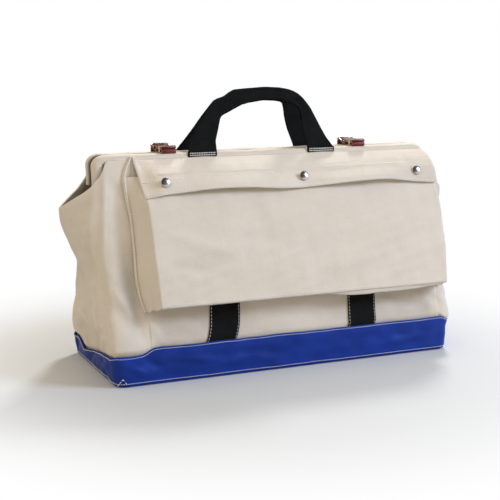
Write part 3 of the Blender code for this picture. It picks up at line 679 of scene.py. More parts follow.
def makeEnd(tag, side, face, out):
    # half an end canvas: a section runs along the panel to the corner, rounds it and crosses to the
    # ridge. Near the corner its points keep their distance, beyond the seam their share of the way.
    near = abs(panel[tag]) if out < 0 else panel["back"]
    start, seam, e = halfLength - near, ear["seam"], ear["round"]
    fixed = np.concatenate([np.linspace(-start, -seam, 26)[:-1], np.linspace(-seam, seam, 25),
                            np.full(78, seam)])[None, :]
    share = np.concatenate([np.zeros(50), np.linspace(0, 1, 79)[1:]])[None, :]
    topZ = np.where(share > 0, knots(share, ear["rimShare"], ear["rimZ"]),
                    knots(fixed, ear["cornerRim"], ear["cornerRimZ"]))
    bottomZ = foldZ + panel["foot"] * cosLean
    z = bottomZ + (topZ - bottomZ) * np.linspace(0, 1, 171)[:, None]
    wide = halfDepth - (z - foldZ) * math.tan(lean)
    cornerX, tipX, rounding = (knots(z, ear["z"], ear[key]) for key in ("cornerX", "tipX", "corner"))
    reach, reachFront = tipX - cornerX, cornerX - near
    span = np.sqrt(wide**2 + reach**2)
    # q is the way walked from the corner; a hyperbola shares it out between the front and the end
    q = np.where(share > 0, seam + (span - seam) * share,
                 np.where(fixed < 0, fixed * reachFront / start, fixed))
    alongFront, alongEnd = ((np.sqrt(q**2 + rounding**2) + sign * q) / 2 for sign in (-1, 1))
    atStart = (np.sqrt(reachFront**2 + rounding**2) + reachFront) / 2
    alongFront = alongFront * (1 + (reachFront / atStart - 1) * softStep(0.0, reachFront, alongFront))
    c = np.where(share >= 1, 0.0, np.clip(1 - alongEnd / span, 0, 1))
    swing = (np.sqrt(c**2 + e**2) - e) / (math.sqrt(1 + e**2) - e)
    x = cornerX + reach * (1 - swing) - alongFront
    y = wide * c
    endY, v = out * y, (z - foldZ) / cosLean
    relief = endRelief(endY, z, side) * softStep(0.0, 0.03, alongEnd)
    relief = relief * softStep(0.0, 0.012, y + 0.004)
    flat = panelRelief(side * x, v, out) * softStep(0.030, 0.0, alongEnd)
    edge = bandEdge(side * halfLength + 0 * endY, endY)
    x = x + relief * softStep(-0.001, 0.010, z - edge)
    x = x + tuck(z, edge) * ear["tuck"] * softStep(0.0, 0.010, alongEnd)
    points = grid(side * x, out * (y + flat * cosLean), z + flat * sinLean)
    flip = side * out < 0
    points, uv = flipped(flip, points, spacing(points))
    mesh = sheetMesh("%s%sEndCanvas" % (tag, face.capitalize()), points, canvasThick, uv)
    if side < 0 and out < 0:
        # painted shadow of the pocket: the strip between the corner and the pocket is darkened
        dark = paintedShade["strip"] * bump(v, 0.100, 0.058) * bump(-x, -0.272, 0.015)
        addShade(mesh, *flipped(flip, dark * softStep(0.020, 0.0, alongEnd)))
    if side > 0:
        # painted shade: the far end, which faces the key lamp, is darkened to tone down its light
        addShade(mesh, *flipped(flip, paintedShade["farEnd"] * softStep(0.0, 0.020, alongEnd) + 0 * z))
    piece = pieceFrom(mesh, canvas, None, ("end_panel_" + tag,))
    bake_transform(piece)


for tag, side in sides:
    for face, out in faces:
        makeEnd(tag, side, face, out)
print("canvas shell ready")


# The vinyl bottom: a tray whose top edge dips where the canvas sags over it
tray = {"corner": 0.017, "sole": 0.0045, "thick": 0.0022, "soft": 0.0014, "small": 0.0009,
        "shrink": (0.05, 0.5, 0.9, 0.97), "stitchDrop": 0.0020, "lowStitch": 0.0012,
        "tack": ((-0.0075, 0.0040, 0.0030, 0.0150), (0.0015, 0.0155, 0.0090, 0.0050)),
        "frontFolds": ((-0.296, 0.040, -0.245, 0.012, 0.006, 0.0026),
                       (-0.262, 0.046, -0.225, 0.022, 0.007, -0.0026),
                       (-0.215, 0.040, -0.120, 0.028, 0.006, 0.0022),
                       (-0.150, 0.018, -0.050, 0.034, 0.007, 0.0020),
                       (-0.100, 0.040, 0.010, 0.022, 0.008, -0.0020),
                       (0.160, 0.020, 0.280, 0.036, 0.007, 0.0020)),
        "endFolds": ((-0.09, 0.036, -0.04, 0.008, 0.007, 0.0030),
                     (-0.01, 0.034, 0.03, 0.010, 0.007, -0.0030))}


def planCurve(count):
    # a rounded rectangle walked once round by length: places and outward normals
    line = corners(halfLength, halfDepth, tray["corner"], 0.0, np.linspace(0, math.pi / 2, 40))
    line = np.concatenate([line, line[:1]])
    walked = walk(line)
    at = np.linspace(0, walked[-1], count + 1)[:-1]
    place = np.stack([np.interp(at, walked, line[:, i]) for i in range(2)], axis=1)
    way = np.roll(place, -1, axis=0) - np.roll(place, 1, axis=0)
    return place, unit(np.stack([way[:, 1], -way[:, 0]], axis=1))


def vinylRelief(x, y, z):
    # dents and slack of the vinyl wall, still at the sole and at the top edge
    around = np.where(np.abs(y) > halfDepth - 0.02, x, y * 1.3 + 0.7)
    soft = tray["soft"] * ripple(around, z * 2.2, 33, 0.085)
    soft = soft + tray["small"] * ripple(around, z, 34, 0.040)
    fold = creases(x, z, tray["frontFolds"]) * (y < 0)
    fold = fold + creases(y, z, tray["endFolds"]) * (x < -0.29)
    calm = softStep(0.0, 0.012, z) * softStep(bandTop + 0.002, bandTop - 0.012, z)
    return soft * softStep(0, 0.010, z) * 0.8 + fold * calm


def makeTray():
    # rings run from the sole's middle up the outside, over the rim and down the inside
    place, normal = planCurve(720)
    r, thick = tray["sole"], tray["thick"]
    turn = np.linspace(0, math.pi / 2, 6)[:, None]
    share = np.linspace(0, 1, 22)[1:, None]
    edge = bandEdge(place[:, 0], place[:, 1])
    z = np.concatenate([r * (1 - np.cos(turn)) + 0 * edge, r + (edge - r) * share])
    inset = np.concatenate([r * (1 - np.sin(turn)), 0 * share])
    off = vinylRelief(place[:, 0], place[:, 1], z) - inset
    x = place[:, 0] + normal[:, 0] * off
    # low down the vinyl stands out past the sole at both ends
    endOut = np.interp(z, (0.0, 0.030, 0.058), (0.0, 0.003, 0.008))
    x = x + np.sign(x) * endOut * softStep(0.270, 0.300, np.abs(x))
    outer = grid(x, place[:, 1] + normal[:, 1] * off, z)
    inner = outer.copy()
    inner[:, :, :2] -= normal * thick
    inner[:, :, 2] = np.maximum(inner[:, :, 2], thick)
    rim = (outer[-1] + inner[-1]) / 2 + (0, 0, thick * 0.45)
    sole, floor = ([rings[0] * (k, k, 1.0) for k in tray["shrink"]] for rings in (outer, inner))
    mesh = tubeMesh("vinylTray", np.concatenate([sole, outer, rim[None], inner[::-1], floor[::-1]]))
    pieceFrom(mesh, vinyl, "bag", ("vinyl_bottom",))
    away = grid(normal[:, 0], normal[:, 1], 0.0)
    low = grid(outer[6, :, 0], outer[6, :, 1], r + tray["lowStitch"])
    rows = [[np.concatenate([g, g[:1]]) for g in (line + away * lift, away)]
            for line, lift in ((outer[-1] - (0, 0, tray["stitchDrop"]), 0.0003), (low, 0.0002))]
    pieceFrom(stitchMesh("trayStitching", rows, 0.0040), whiteThread, "bag")
    corner = np.array([-halfLength + 0.0075, -halfDepth - 0.0002, 0.0])
    hand = [(corner + np.linspace((a, 0, b), (c, 0, d), 8), (0, -1.0, 0))
            for a, b, c, d in tray["tack"]]
    pieceFrom(stitchMesh("cornerTack", hand, 0.0050, 0.0006), whiteThread, "bag")


makeTray()

liner = {"inset": 0.0072, "thick": 0.0018, "under": 0.0046, "floor": 0.0064, "below": 0.006,
         "shrink": (0.05, 0.5, 0.97)}


def makeLiner():
    # the canvas inside the vinyl, seen when the mouth is open
    place, normal = planCurve(360)
    scale = np.concatenate([liner["shrink"], np.ones(9)])[:, None]
    rise = np.concatenate([np.zeros(3), np.linspace(0, bandTop - liner["below"], 9)])[:, None]
    x, y = (place - normal * liner["inset"]).T
    rings = grid(x * scale, y * scale, liner["under"] + rise)
    inner = rings[::-1].copy()
    inner[:, :, :2] -= normal * liner["thick"]
    inner[:, :, 2] = np.maximum(inner[:, :, 2], liner["floor"])
    mesh = tubeMesh("baseLiner", np.concatenate([rings, inner]))
    pieceFrom(mesh, shadedInnerCanvas, "bag", ("canvas_base",))


makeLiner()
setLook(board, "base_board")
setLook(web, "web_under_left", "web_under_right")
print("bottom ready")


# The pocket. The heights in level go with the x of the gussets' rear and front edges.
pocket = {"depth": 0.0345, "pull": 0.0060, "bottom": 0.0600, "top": 0.276, "thick": 0.0019,
          "back": 0.0022, "edgeRound": 0.0008, "belly": 0.0016, "soft": 0.0011, "wrinkle": 0.00035,
          "gussetSag": 0.0032, "gussetSoft": 0.0006, "crumple": 0.0022, "crumpleUp": 0.0016,
          "footSag": 0.0012, "footRise": 0.0035, "lipThick": 0.0015, "lipSoft": 0.0005,
          "lipStitch": 0.0057, "seamV": 0.066, "seamUp": 0.0042, "seamOut": 0.0003,
          "hang": 0.0062, "hangSoft": 0.0006, "hemIn": 0.0035, "hemTurn": 0.0030,
          "level": (0.056, 0.064, 0.086, 0.117, 0.160, 0.205, 0.236, 0.262, 0.282),
          "rearLeft": (-0.2504, -0.2525, -0.2571, -0.2590, -0.2572, -0.2566, -0.2585, -0.2600,
                       -0.2606),
          "frontLeft": (-0.2334, -0.2334, -0.2340, -0.2346, -0.2350, -0.2358, -0.2372, -0.2410,
                        -0.2444),
          "frontRight": (0.2912, 0.2918, 0.2948, 0.2985, 0.3000, 0.3000, 0.2960, 0.2925, 0.2915),
          "rearRight": (0.2970, 0.2985, 0.3000, 0.3005, 0.3005, 0.3005, 0.3000, 0.2990, 0.2980),
          "drawnV": (0.205, 0.222, 0.236, 0.250, 0.262, 0.276),
          "drawn": (0.0, 0.0012, 0.0045, 0.0115, 0.0165, 0.0200),
          "folds": ((-0.215, 0.175, -0.085, 0.128, 0.012, 0.0022, 0.4),
                    (-0.225, 0.130, -0.120, 0.104, 0.010, -0.0020),
                    (-0.190, 0.098, -0.080, 0.120, 0.010, 0.0018),
                    (-0.10, 0.165, 0.00, 0.150, 0.012, -0.0016),
                    (0.06, 0.10, 0.20, 0.115, 0.014, 0.0018),
                    (-0.02, 0.236, 0.05, 0.205, 0.016, -0.0014))}
# The lips where the gussets join the panel: edge, way, places up it and their shifts, width, top
lips = (("Left", "rearLeft", -1, (0.058, 0.262, 0.276, 0.290, 0.301, 0.311),
         (0.0, 0.0, 0.0, 0.0045, 0.0105, 0.0165), 0.0050, 0.311),
        ("Right", "rearRight", 1, (0.058, 0.276), (0.0, 0.0), 0.0018, 0.298))
lipSection = (0.0010, 0.0040, 0.0054, 0.0052, 0.0036, 0.0012)


def pocketFace(x, v):
    # w of the pocket's front: drawn in at the top, slack in the middle, hugging its bottom edge
    w = pocket["depth"] - pocket["pull"] * softStep(0.215, 0.280, v)
    w = w - knots(v, pocket["drawnV"], pocket["drawn"]) * softStep(-0.200, -0.243, x)
    belly = np.sin(math.pi * np.clip((v - pocket["bottom"]) / 0.2, 0, 1))
    w = w + pocket["belly"] * belly * bump(x, 0.02, 0.24)
    w = w + pocket["soft"] * ripple(x, v * 1.6, 41, 0.12)
    w = w + pocket["wrinkle"] * ripple(x, v, 45, 0.030)
    return w + creases(x, v, pocket["folds"])


def makePocket():
    # a U section (gusset, face, gusset) carried up the panel, and folded in at its foot
    bottom, back = pocket["bottom"], pocket["back"]
    v = np.linspace(bottom, pocket["top"], 101)[:, None]
    rearLeft, frontLeft, frontRight, rearRight = (
        knots(v, pocket["level"], pocket[key])
        for key in ("rearLeft", "frontLeft", "frontRight", "rearRight"))
    close = 0.03 * np.linspace(0, 1, 17)[1:] ** 1.6
    share = np.concatenate([[0], close, np.linspace(0.03, 0.97, 150)[1:-1], 1 - close[::-1], [1]])
    xFace = frontLeft + (frontRight - frontLeft) * share
    wFace = pocketFace(xFace, v)
    for off in (xFace - frontLeft, frontRight - xFace):
        wFace = wFace - pocket["edgeRound"] * bump(off, 0, 0.0010)
    g = np.linspace(0, 1, 17)[None, :]
    h = g[:, ::-1]
    sag = pocket["gussetSag"] * np.sin(math.pi * g) * (0.4 + 0.6 * softStep(0.06, 0.11, v))
    uneven = pocket["gussetSoft"] * ripple(g * 0.05, v, 43, 0.06) * np.sin(math.pi * g)
    xLeft = rearLeft + (frontLeft - rearLeft) * g + sag * softStep(0.285, 0.20, v) + uneven
    wLeft = back + (wFace[:, :1] - back) * g + 0.4 * sag
    xRight = rearRight + (frontRight - rearRight) * h - sag
    wRight = back + (wFace[:, -1:] - back) * h
    x = np.concatenate([xLeft[:, :-1], xFace, xRight[:, 1:]], axis=1)
    w = np.concatenate([wLeft[:, :-1], wFace, wRight[:, 1:]], axis=1)
    crumple = bump(x, -0.245, 0.012) * softStep(0.085, 0.062, v)
    w = w - pocket["crumple"] * crumple * (0.5 + 0.5 * np.sin(x * 900))
    up = v + pocket["crumpleUp"] * crumple * np.sin(x * 700 + 1)
    k = np.linspace(1, 0, 14)[:-1, None]
    footUp = up[:1] - pocket["footSag"] * np.sin(math.pi * np.minimum(k * 3, 1))
    footUp = footUp + pocket["footRise"] * softStep(0.2, 1.0, k)
    footX, footW = np.repeat(x[:1], 13, axis=0), back + (w[:1] - back) * (1 - k)
    x, up, w = (np.concatenate(pair) for pair in ((footX, x), (footUp, up), (footW, w)))
    mesh = sheetMesh("pocketCanvas", onPanel(x, up, w)[:, ::-1], pocket["thick"])
    pieceFrom(mesh, canvas, "front_side", ("pocket",))
    # a stitched lip where each gusset joins the panel, and stitching along the front edges
    rows = []
    for tag, name, way, places, shifts, width, top in lips:
        vs = np.linspace(bottom - 0.002, top, 100)[:, None]
        line = knots(vs, pocket["level"], pocket[name]) + knots(vs, places, shifts)
        width = width * (1 - 0.35 * softStep(0.245, 0.205, vs))
        width = width * (1 - 0.5 * softStep(0.296, 0.311, vs))
        lipX = line + way * width * np.linspace(1, -0.45, 6)
        lip = onPanel(lipX, vs, lipSection + pocket["lipSoft"] * ripple(vs, 0.0, 44, 0.04))
        mesh = sheetMesh("gussetLip" + tag, *flipped(way < 0, lip), pocket["lipThick"])
        pieceFrom(mesh, canvas, "front_side")
        rows.append((onPanel(line + way * width * 0.35, vs, pocket["lipStitch"])[:, 0], panelOut()))
    xs = np.linspace(pocket["frontLeft"][1] + 0.004, pocket["frontRight"][1] - 0.004, 120)
    faceFoot = pocketFace(xs, pocket["seamV"])
    seam = onPanel(xs, bottom + pocket["seamUp"], faceFoot + pocket["seamOut"])
    vs = np.linspace(bottom + 0.005, pocket["top"] - 0.04, 80)
    xs = knots(vs, pocket["level"], pocket["frontRight"]) - 0.0045
    rows += [(seam, panelOut()), (onPanel(xs, vs, pocketFace(xs, vs) - 0.0001), panelOut())]
    pieceFrom(stitchMesh("pocketStitching", rows), creamThread, "front_side")
    # the turned hem that hangs below the pocket's foot
    xs = np.linspace(pocket["frontRight"][0] - 0.006, 0.052, 90)[None, :]
    hang = pocket["hang"] * softStep(0.052, 0.110, xs) * (1 - 0.5 * softStep(0.20, 0.29, xs))
    hang = hang + pocket["hangSoft"] * ripple(xs, 0.0, 46, 0.05)
    down, inside = np.linspace(0, 1, 7)[:, None], pocket["hemIn"]
    under = onPanel(xs, bottom + inside - (hang + inside) * down,
                    pocketFace(xs, pocket["seamV"]) - inside - pocket["hemTurn"] * down**2)
    mesh = sheetMesh("pocketFootHem", under[::-1, ::-1], pocket["lipThick"])
    pieceFrom(mesh, canvas, "front_side")


makePocket()


# The flap. Its section stands full over the right part, plain in the middle, drawn in at the left.
flap = {"left": -0.2435, "right": 0.2975, "root": 0.3045, "leftRoot": 0.0062, "thick": 0.0019,
        "open": 0.0075, "bend": 0.0080, "seamW": 0.0016, "inset": 0.0045, "hemStitch": 0.955,
        "soft": 0.0009, "wrinkle": 0.0003, "slant": 0.0046, "cornerUp": 0.0012, "stitchOut": 0.0002,
        "footX": (-0.2435, -0.210, -0.1635, -0.122, -0.0606, -0.0094, 0.0347, 0.0922, 0.148, 0.198,
                  0.242, 0.2975),
        "footV": (0.2350, 0.2393, 0.2422, 0.2448, 0.2437, 0.2398, 0.2397, 0.2425, 0.2452, 0.2464,
                  0.2412, 0.2360),
        "steps": (0.0, 0.12, 0.26, 0.40, 0.55, 0.70, 0.85, 1.0),
        "full": (0.0016, 0.0130, 0.0222, 0.0290, 0.0345, 0.0372, 0.0378, 0.0374),
        "plain": (0.0016, 0.0090, 0.0172, 0.0240, 0.0298, 0.0345, 0.0375, 0.0388),
        "drawn": (0.0016, 0.0040, 0.0088, 0.0128, 0.0160, 0.0206, 0.0268, 0.0328),
        "folds": ((-0.03, 0.012, 0.20, 0.040, 0.010, 0.0009),
                  (0.06, 0.045, 0.18, 0.028, 0.008, -0.0007)),
        "seamX": (-0.2435, -0.05, 0.05, 0.12, 0.20, 0.2975),
        "seamAt": (0.62, 0.60, 0.42, 0.34, 0.33, 0.36)}
snapTags = ("left", "middle", "right")
snapX = [sum(c.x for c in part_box("snap_cap_" + tag)) / 2 for tag in snapTags]


def flapPlace(x, t):
    # v and w of the flap's canvas: t is 0 at its seam and 1 at its free edge, which is held at the
    # three snaps and bows out between them
    a, b, c = snapX
    lift = np.where(x < b, np.sin(math.pi * np.clip((x - a) / (b - a), 0, 1)) ** 1.3,
                    0.9 * np.sin(math.pi * np.clip((x - b) / (c - b), 0, 1)) ** 1.3)
    root = flap["root"] + flap["leftRoot"] * softStep(-0.232, -0.2435, x)
    v = root + (knots(x, flap["footX"], flap["footV"]) - root) * t
    full, plain, drawn = (knots(t, flap["steps"], flap[key]) for key in ("full", "plain", "drawn"))
    right, left = softStep(0.16, 0.29, x), softStep(-0.206, -0.246, x)
    w = (plain * (1 - right) + full * right) * (1 - left) + drawn * left
    w = w + flap["open"] * lift * softStep(0.45, 1.0, t) ** 1.4
    uneven = flap["soft"] * ripple(x, t * 0.07, 51, 0.10)
    uneven = uneven + flap["wrinkle"] * ripple(x, t * 0.07, 52, 0.030)
    return v, w + uneven * np.sin(math.pi * t) + creases(x, t * 0.075, flap["folds"])


def bendAtSeam(piece):
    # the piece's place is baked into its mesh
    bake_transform(piece)


def makeFlap():
    left, right = flap["left"], flap["right"]
    x = np.linspace(left, right, 181)[None, :]
    t = np.linspace(0, 1, 45)[:, None]
    v, w = flapPlace(x, t)
    x = x + flap["slant"] * t * softStep(-0.20, -0.2435, x)
    corner = (bump(x, left, 0.006) + bump(x, right, 0.006)) * softStep(0.9, 1.0, t)
    corner = flap["cornerUp"] * corner
    mesh = sheetMesh("flapCanvas", onPanel(x, v + corner, w), flap["thick"])
    # painted shade: darker towards the flap's right end, where the lamps light it most
    addShade(mesh, paintedShade["flapEnd"] * softStep(0.02, 0.24, x) + 0 * t)
    bendAtSeam(pieceFrom(mesh, canvas, None, ("pocket_flap",)))
    # stitching along the free edge, across the middle and down both ends
    xs, ts = np.linspace(left + 0.006, right - 0.006, 160), np.linspace(0.04, 0.96, 60)
    lines = ((xs, flap["hemStitch"] + 0 * xs), (xs, knots(xs, flap["seamX"], flap["seamAt"])),
             (left + flap["inset"] + 0 * ts, ts), (right - flap["inset"] + 0 * ts, ts))
    rows = []
    for x, t in lines:
        v, w = flapPlace(x, t)
        rows.append((onPanel(x, v, w + flap["stitchOut"]), panelOut()))
    bendAtSeam(pieceFrom(stitchMesh("flapStitching", rows), creamThread, None))


makeFlap()


# Snap caps: low domes whose turned edge takes a darker nickel, painted shade for the dark edge of the
# cap's reflection, as (radius, height) from the middle to the foot
snap = {"sink": 0.0012, "darkFrom": 7, "darkTo": 10, "sides": 40,
        "profile": ((0.0003, 0.0027), (0.0012, 0.00265), (0.0024, 0.0025), (0.0036, 0.00225),
                    (0.0048, 0.0019), (0.0060, 0.0014), (0.0069, 0.0010), (0.0075, 0.0007),
                    (0.0078, 0.0004), (0.0077, 0.0001), (0.0066, 0.0), (0.0004, 0.0))}


def makeSnap(tag, x):
    # circles about the cap's axis, one for each point of the profile
    low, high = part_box("snap_cap_" + tag)
    axis = panelOut()
    foot = np.array([x, (low.y + high.y) / 2, (low.z + high.z) / 2]) - axis * snap["sink"]
    turn = np.arange(snap["sides"]) * math.tau / snap["sides"]
    spoke = np.cos(turn)[:, None] * (1, 0, 0) + np.sin(turn)[:, None] * np.cross(axis, (1, 0, 0))
    rings = np.array([foot + axis * height + radius * spoke for radius, height in snap["profile"]])
    mesh = tubeMesh("snapCap" + tag.capitalize(), rings)
    pieceFrom(mesh, nickel, "flap", ("snap_cap_" + tag,), (shadedNickel,))
    # the rings at the turned edge take the darker nickel: painted shade for the dark edge of the
    # reflection
    ring = np.arange(len(mesh.polygons)) // snap["sides"]
    dark = (ring >= snap["darkFrom"]) & (ring < snap["darkTo"])
    mesh.polygons.foreach_set("material_index", dark.astype(np.int32))
    setLook(nickel, "snap_socket_" + tag, "snap_stud_" + tag)


for tag, x in zip(snapTags, snapX):
    makeSnap(tag, x)
print("pocket and flap ready")


# Webs down the panels, close above the canvas. The heights in level go with each web's middle.
webs = {"thick": 0.0018, "half": 0.0255, "headHalf": 0.0250, "inset": 0.0017, "clear": 0.0004,
        "curl": 0.0004, "stitchOut": 0.0006, "pitch": 0.0056,
        "level": (-0.016, 0.0, 0.012, 0.027, 0.042, 0.060, 0.100, 0.200, 0.305),
        "left": (-0.1290, -0.1282, -0.1235, -0.1178, -0.1165, -0.1145, -0.1150, -0.1185, -0.1220),
        "right": (0.1312, 0.1320, 0.1332, 0.1348, 0.1362, 0.1374, 0.1345, 0.1160, 0.0970)}


def makePanelWebs(face, out):
    v = np.linspace(panel["foot"] + 0.002, panelLength - 0.003, 120)[:, None]
    a = np.linspace(-1, 1, 15)[None, :]
    share = np.clip(v / panelLength, 0, 1)
    half = (1 - share) * webs["half"] + share * webs["headHalf"]
    rows = []
    for tag, _ in sides:
        centre = knots(v, webs["level"], webs[tag])
        x = centre + a * half
        w = panelRelief(x, v, out) + webs["clear"] + webs["thick"] + webs["curl"] * a**4
        points, uv = flipped(out < 0, onPanel(x, v, w, out), grid(a * half, v))
        mesh = sheetMesh("%sWeb%s" % (face, tag.capitalize()), points, webs["thick"], uv)
        piece = pieceFrom(mesh, web, None, ("%s_web_%s" % (face, tag),))
        foldWithPanel(piece)
        for edge in (-1, 1):
            x = centre + edge * (half - webs["inset"])
            w = panelRelief(x, v, out) + webs["stitchOut"] + webs["thick"]
            rows.append((onPanel(x, v, w, out)[:, 0], panelOut(out)))
    mesh = stitchMesh(face + "WebStitching", rows, webs["pitch"])
    foldWithPanel(pieceFrom(mesh, whiteThread, None))


for face, out in faces:
    makePanelWebs(face, out)


# The hems, sleeves of canvas over the steel bows
hem = {"corner": 0.014, "drop": 0.046, "high": 0.0082, "inside": 0.0006, "wider": 0.0065,
       "lapOut": 0.0042, "lapDown": 0.0042, "pinch": 0.0016, "groove": 0.0060, "inward": 0.0065,
       "uneven": 0.0005, "fuller": 0.0016, "dark": 0.94, "seamDown": 0.0025, "seamOut": 0.0018}


def bowPath(half, top, drop, radius):
    # a bow's middle line from its left leg over the top to its right leg, with the way out from it
    leg = np.stack([np.full(24, -half), top - drop + (drop - radius) * np.linspace(0, 1, 24)], axis=1)
    turn = np.linspace(math.pi, math.pi / 2, 15)
    spokes = np.stack([np.cos(turn), np.sin(turn)], axis=1)
    left = np.concatenate([leg, spokes * radius + (radius - half, top - radius)])
    leftOut = np.concatenate([np.tile([-1.0, 0.0], (24, 1)), spokes])
    across = np.stack([np.linspace(-half + radius, half - radius, 121), np.full(121, top)], axis=1)
    line = np.concatenate([left, across, left[::-1] * (-1, 1)])
    outward = np.concatenate([leftOut, np.tile([0.0, 1.0], (121, 1)), leftOut[::-1] * (-1, 1)])
    keep = np.concatenate([[True], np.linalg.norm(np.diff(line, axis=0), axis=1) > 1e-5])
    return line[keep], outward[keep]


def makeHem(face, out):
    # the section, a flat rounded box, runs round the bow; it is fuller at its corners
    high, depth = hem["high"], hemDepth - hem["inside"]
    line, outward = bowPath(hemHalf - high / 2, hemTop - high / 2, hem["drop"], hem["corner"])
    lineX, lineZ, outX, outZ = (g[:, None] for g in (*line.T, *outward.T))
    far = np.abs(lineX)
    atLeg = softStep(hemHalf - 0.035, hemHalf - 0.008, far)
    atCorner = softStep(hemHalf - 0.040, hemHalf - 0.014, far)
    turn = np.arange(32) * math.tau / 32
    across = np.sign(np.cos(turn)) * np.abs(np.cos(turn)) ** (0.35 + 0.45 * atLeg)
    up = np.sign(np.sin(turn)) * np.abs(np.sin(turn)) ** (0.6 + 0.3 * atLeg)
    walked = walk(line)[:, None]
    fuller = hem["uneven"] * ripple(walked, walked * 0, 61 + out, 0.07)
    fuller = fuller + hem["fuller"] * bump(far, 0.290, 0.016) * bump(lineZ, hemTop - 0.009, 0.016)
    halfUp = high / 2 + fuller * (up > 0)
    x = lineX + outX * up * halfUp
    outerSide = 0.5 + 0.5 * up * np.abs(outX)
    x = x + np.sign(x) * hem["wider"] * softStep(hemHalf - 0.045, hemHalf - 0.004, far) * outerSide
    y = out * (hem["inside"] + depth / 2) + across * depth / 2
    z = lineZ + outZ * up * halfUp
    # over the panel the sleeve's lower edge laps outside the panel's top edge
    lap = softStep(0.3, -0.9, up) * softStep(0.0, 0.7, across * out) * (1 - atLeg)
    pinch = hem["pinch"] + hem["groove"] * softStep(-0.2, 1.0, up)
    y = y + out * (hem["lapOut"] * lap + atLeg * softStep(0.5, -1.0, across * out) * pinch)
    z = z - hem["lapDown"] * lap
    # the sleeve is full towards the mouth too, where the panel's corner covers it
    inward = hem["inward"] * atCorner * (0.5 - 0.5 * up)
    x = x - np.sign(x) * inward * np.abs(outX)
    z = z - 0.8 * inward * np.abs(outZ)
    mesh = tubeMesh(face + "HemSleeve", grid(x, y, z))
    # the side that faces the mouth lies in its shade
    facing = softStep(-0.55, -0.95, across * out) * softStep(-0.9, -0.2, up)
    addShade(mesh, hem["dark"] * facing * (0.55 + 0.45 * atCorner))
    pieceFrom(mesh, canvas, face + "_frame", (face + "_hem",))
    seamY = out * (hem["inside"] + depth + hem["seamOut"] * (1 - atLeg))
    seam = grid(lineX - outX * hem["seamDown"], seamY, lineZ - outZ * hem["seamDown"])[:, 0]
    mesh = stitchMesh(face + "HemStitching", [(seam, (0, out, 0.0))])
    pieceFrom(mesh, creamThread, face + "_frame")


for face, out in faces:
    makeHem(face, out)
setLook(zinc, "front_bow", "back_bow", "hinge_rivet_left", "hinge_rivet_right")
print("hems ready")


# Handles: a web sewn down flat; going up, its outer part folds behind until it lies double in the
# grip. A row holds the outer edge's x and height and the inner edge's, in the handle's own plane.
grip = {"web": 0.050, "thick": 0.0020, "lean": math.radians(12.9),
        "roll": 0.0022, "uneven": 0.0009, "lift": 0.0010,
        "gap": 0.0022, "gapMore": 0.0023, "bulge": 0.0008,
        "endThick": 0.0021, "endRise": 0.0012, "endBulge": 0.0003, "endInset": 0.002,
        "endRows": (0.0022, 0.0056), "endThread": 0.0011, "endPitch": 0.0030,
        "rollAt": (0.0, 5.0, 7.0, 11.0, 14.0, 15.5, 20.0),
        "rollShare": (0.50, 0.45, 0.50, 0.62, 0.30, 0.10, 0.05),
        "front": (
            (-0.1470, 0.0, -0.0970, 0.0), (-0.1430, 0.0182, -0.0975, 0.0167),
            (-0.1334, 0.0353, -0.0929, 0.0316), (-0.1214, 0.0507, -0.0890, 0.0440),
            (-0.1092, 0.0663, -0.0860, 0.0530), (-0.0970, 0.0819, -0.0830, 0.0580),
            (-0.0875, 0.0881, -0.0790, 0.0610), (-0.0745, 0.0919, -0.0700, 0.0648),
            (-0.0648, 0.0981, -0.0590, 0.0700), (-0.0553, 0.1031, -0.0450, 0.0765),
            (-0.0332, 0.1049, -0.0299, 0.0823), (0.0003, 0.1069, 0.0000, 0.0868),
            (0.0302, 0.1056, 0.0284, 0.0865), (0.0480, 0.1018, 0.0430, 0.0812),
            (0.0633, 0.0952, 0.0560, 0.0745), (0.0720, 0.0864, 0.0630, 0.0690),
            (0.0854, 0.0679, 0.0665, 0.0560), (0.0935, 0.0521, 0.0660, 0.0420),
            (0.1015, 0.0328, 0.0665, 0.0280), (0.1105, 0.0160, 0.0690, 0.0140),
            (0.1215, 0.0, 0.0720, 0.0)),
        "back": (
            (-0.1470, 0.0, -0.0970, 0.0), (-0.1345, 0.0175, -0.0965, 0.0165),
            (-0.1247, 0.0314, -0.0935, 0.0290), (-0.1165, 0.0435, -0.0900, 0.0390),
            (-0.1085, 0.0553, -0.0865, 0.0480), (-0.0980, 0.0702, -0.0810, 0.0540),
            (-0.0875, 0.0851, -0.0730, 0.0590), (-0.0790, 0.0880, -0.0650, 0.0620),
            (-0.0660, 0.0925, -0.0560, 0.0660), (-0.0508, 0.1006, -0.0420, 0.0730),
            (-0.0290, 0.1036, -0.0250, 0.0800), (0.0043, 0.1055, 0.0029, 0.0843),
            (0.0346, 0.1042, 0.0240, 0.0830), (0.0481, 0.1019, 0.0360, 0.0812),
            (0.0600, 0.0987, 0.0415, 0.0770), (0.0704, 0.0918, 0.0450, 0.0680),
            (0.0814, 0.0801, 0.0485, 0.0540), (0.0999, 0.0573, 0.0530, 0.0400),
            (0.1080, 0.0400, 0.0575, 0.0285), (0.1160, 0.0200, 0.0645, 0.0150),
            (0.1220, 0.0, 0.0720, 0.0))}


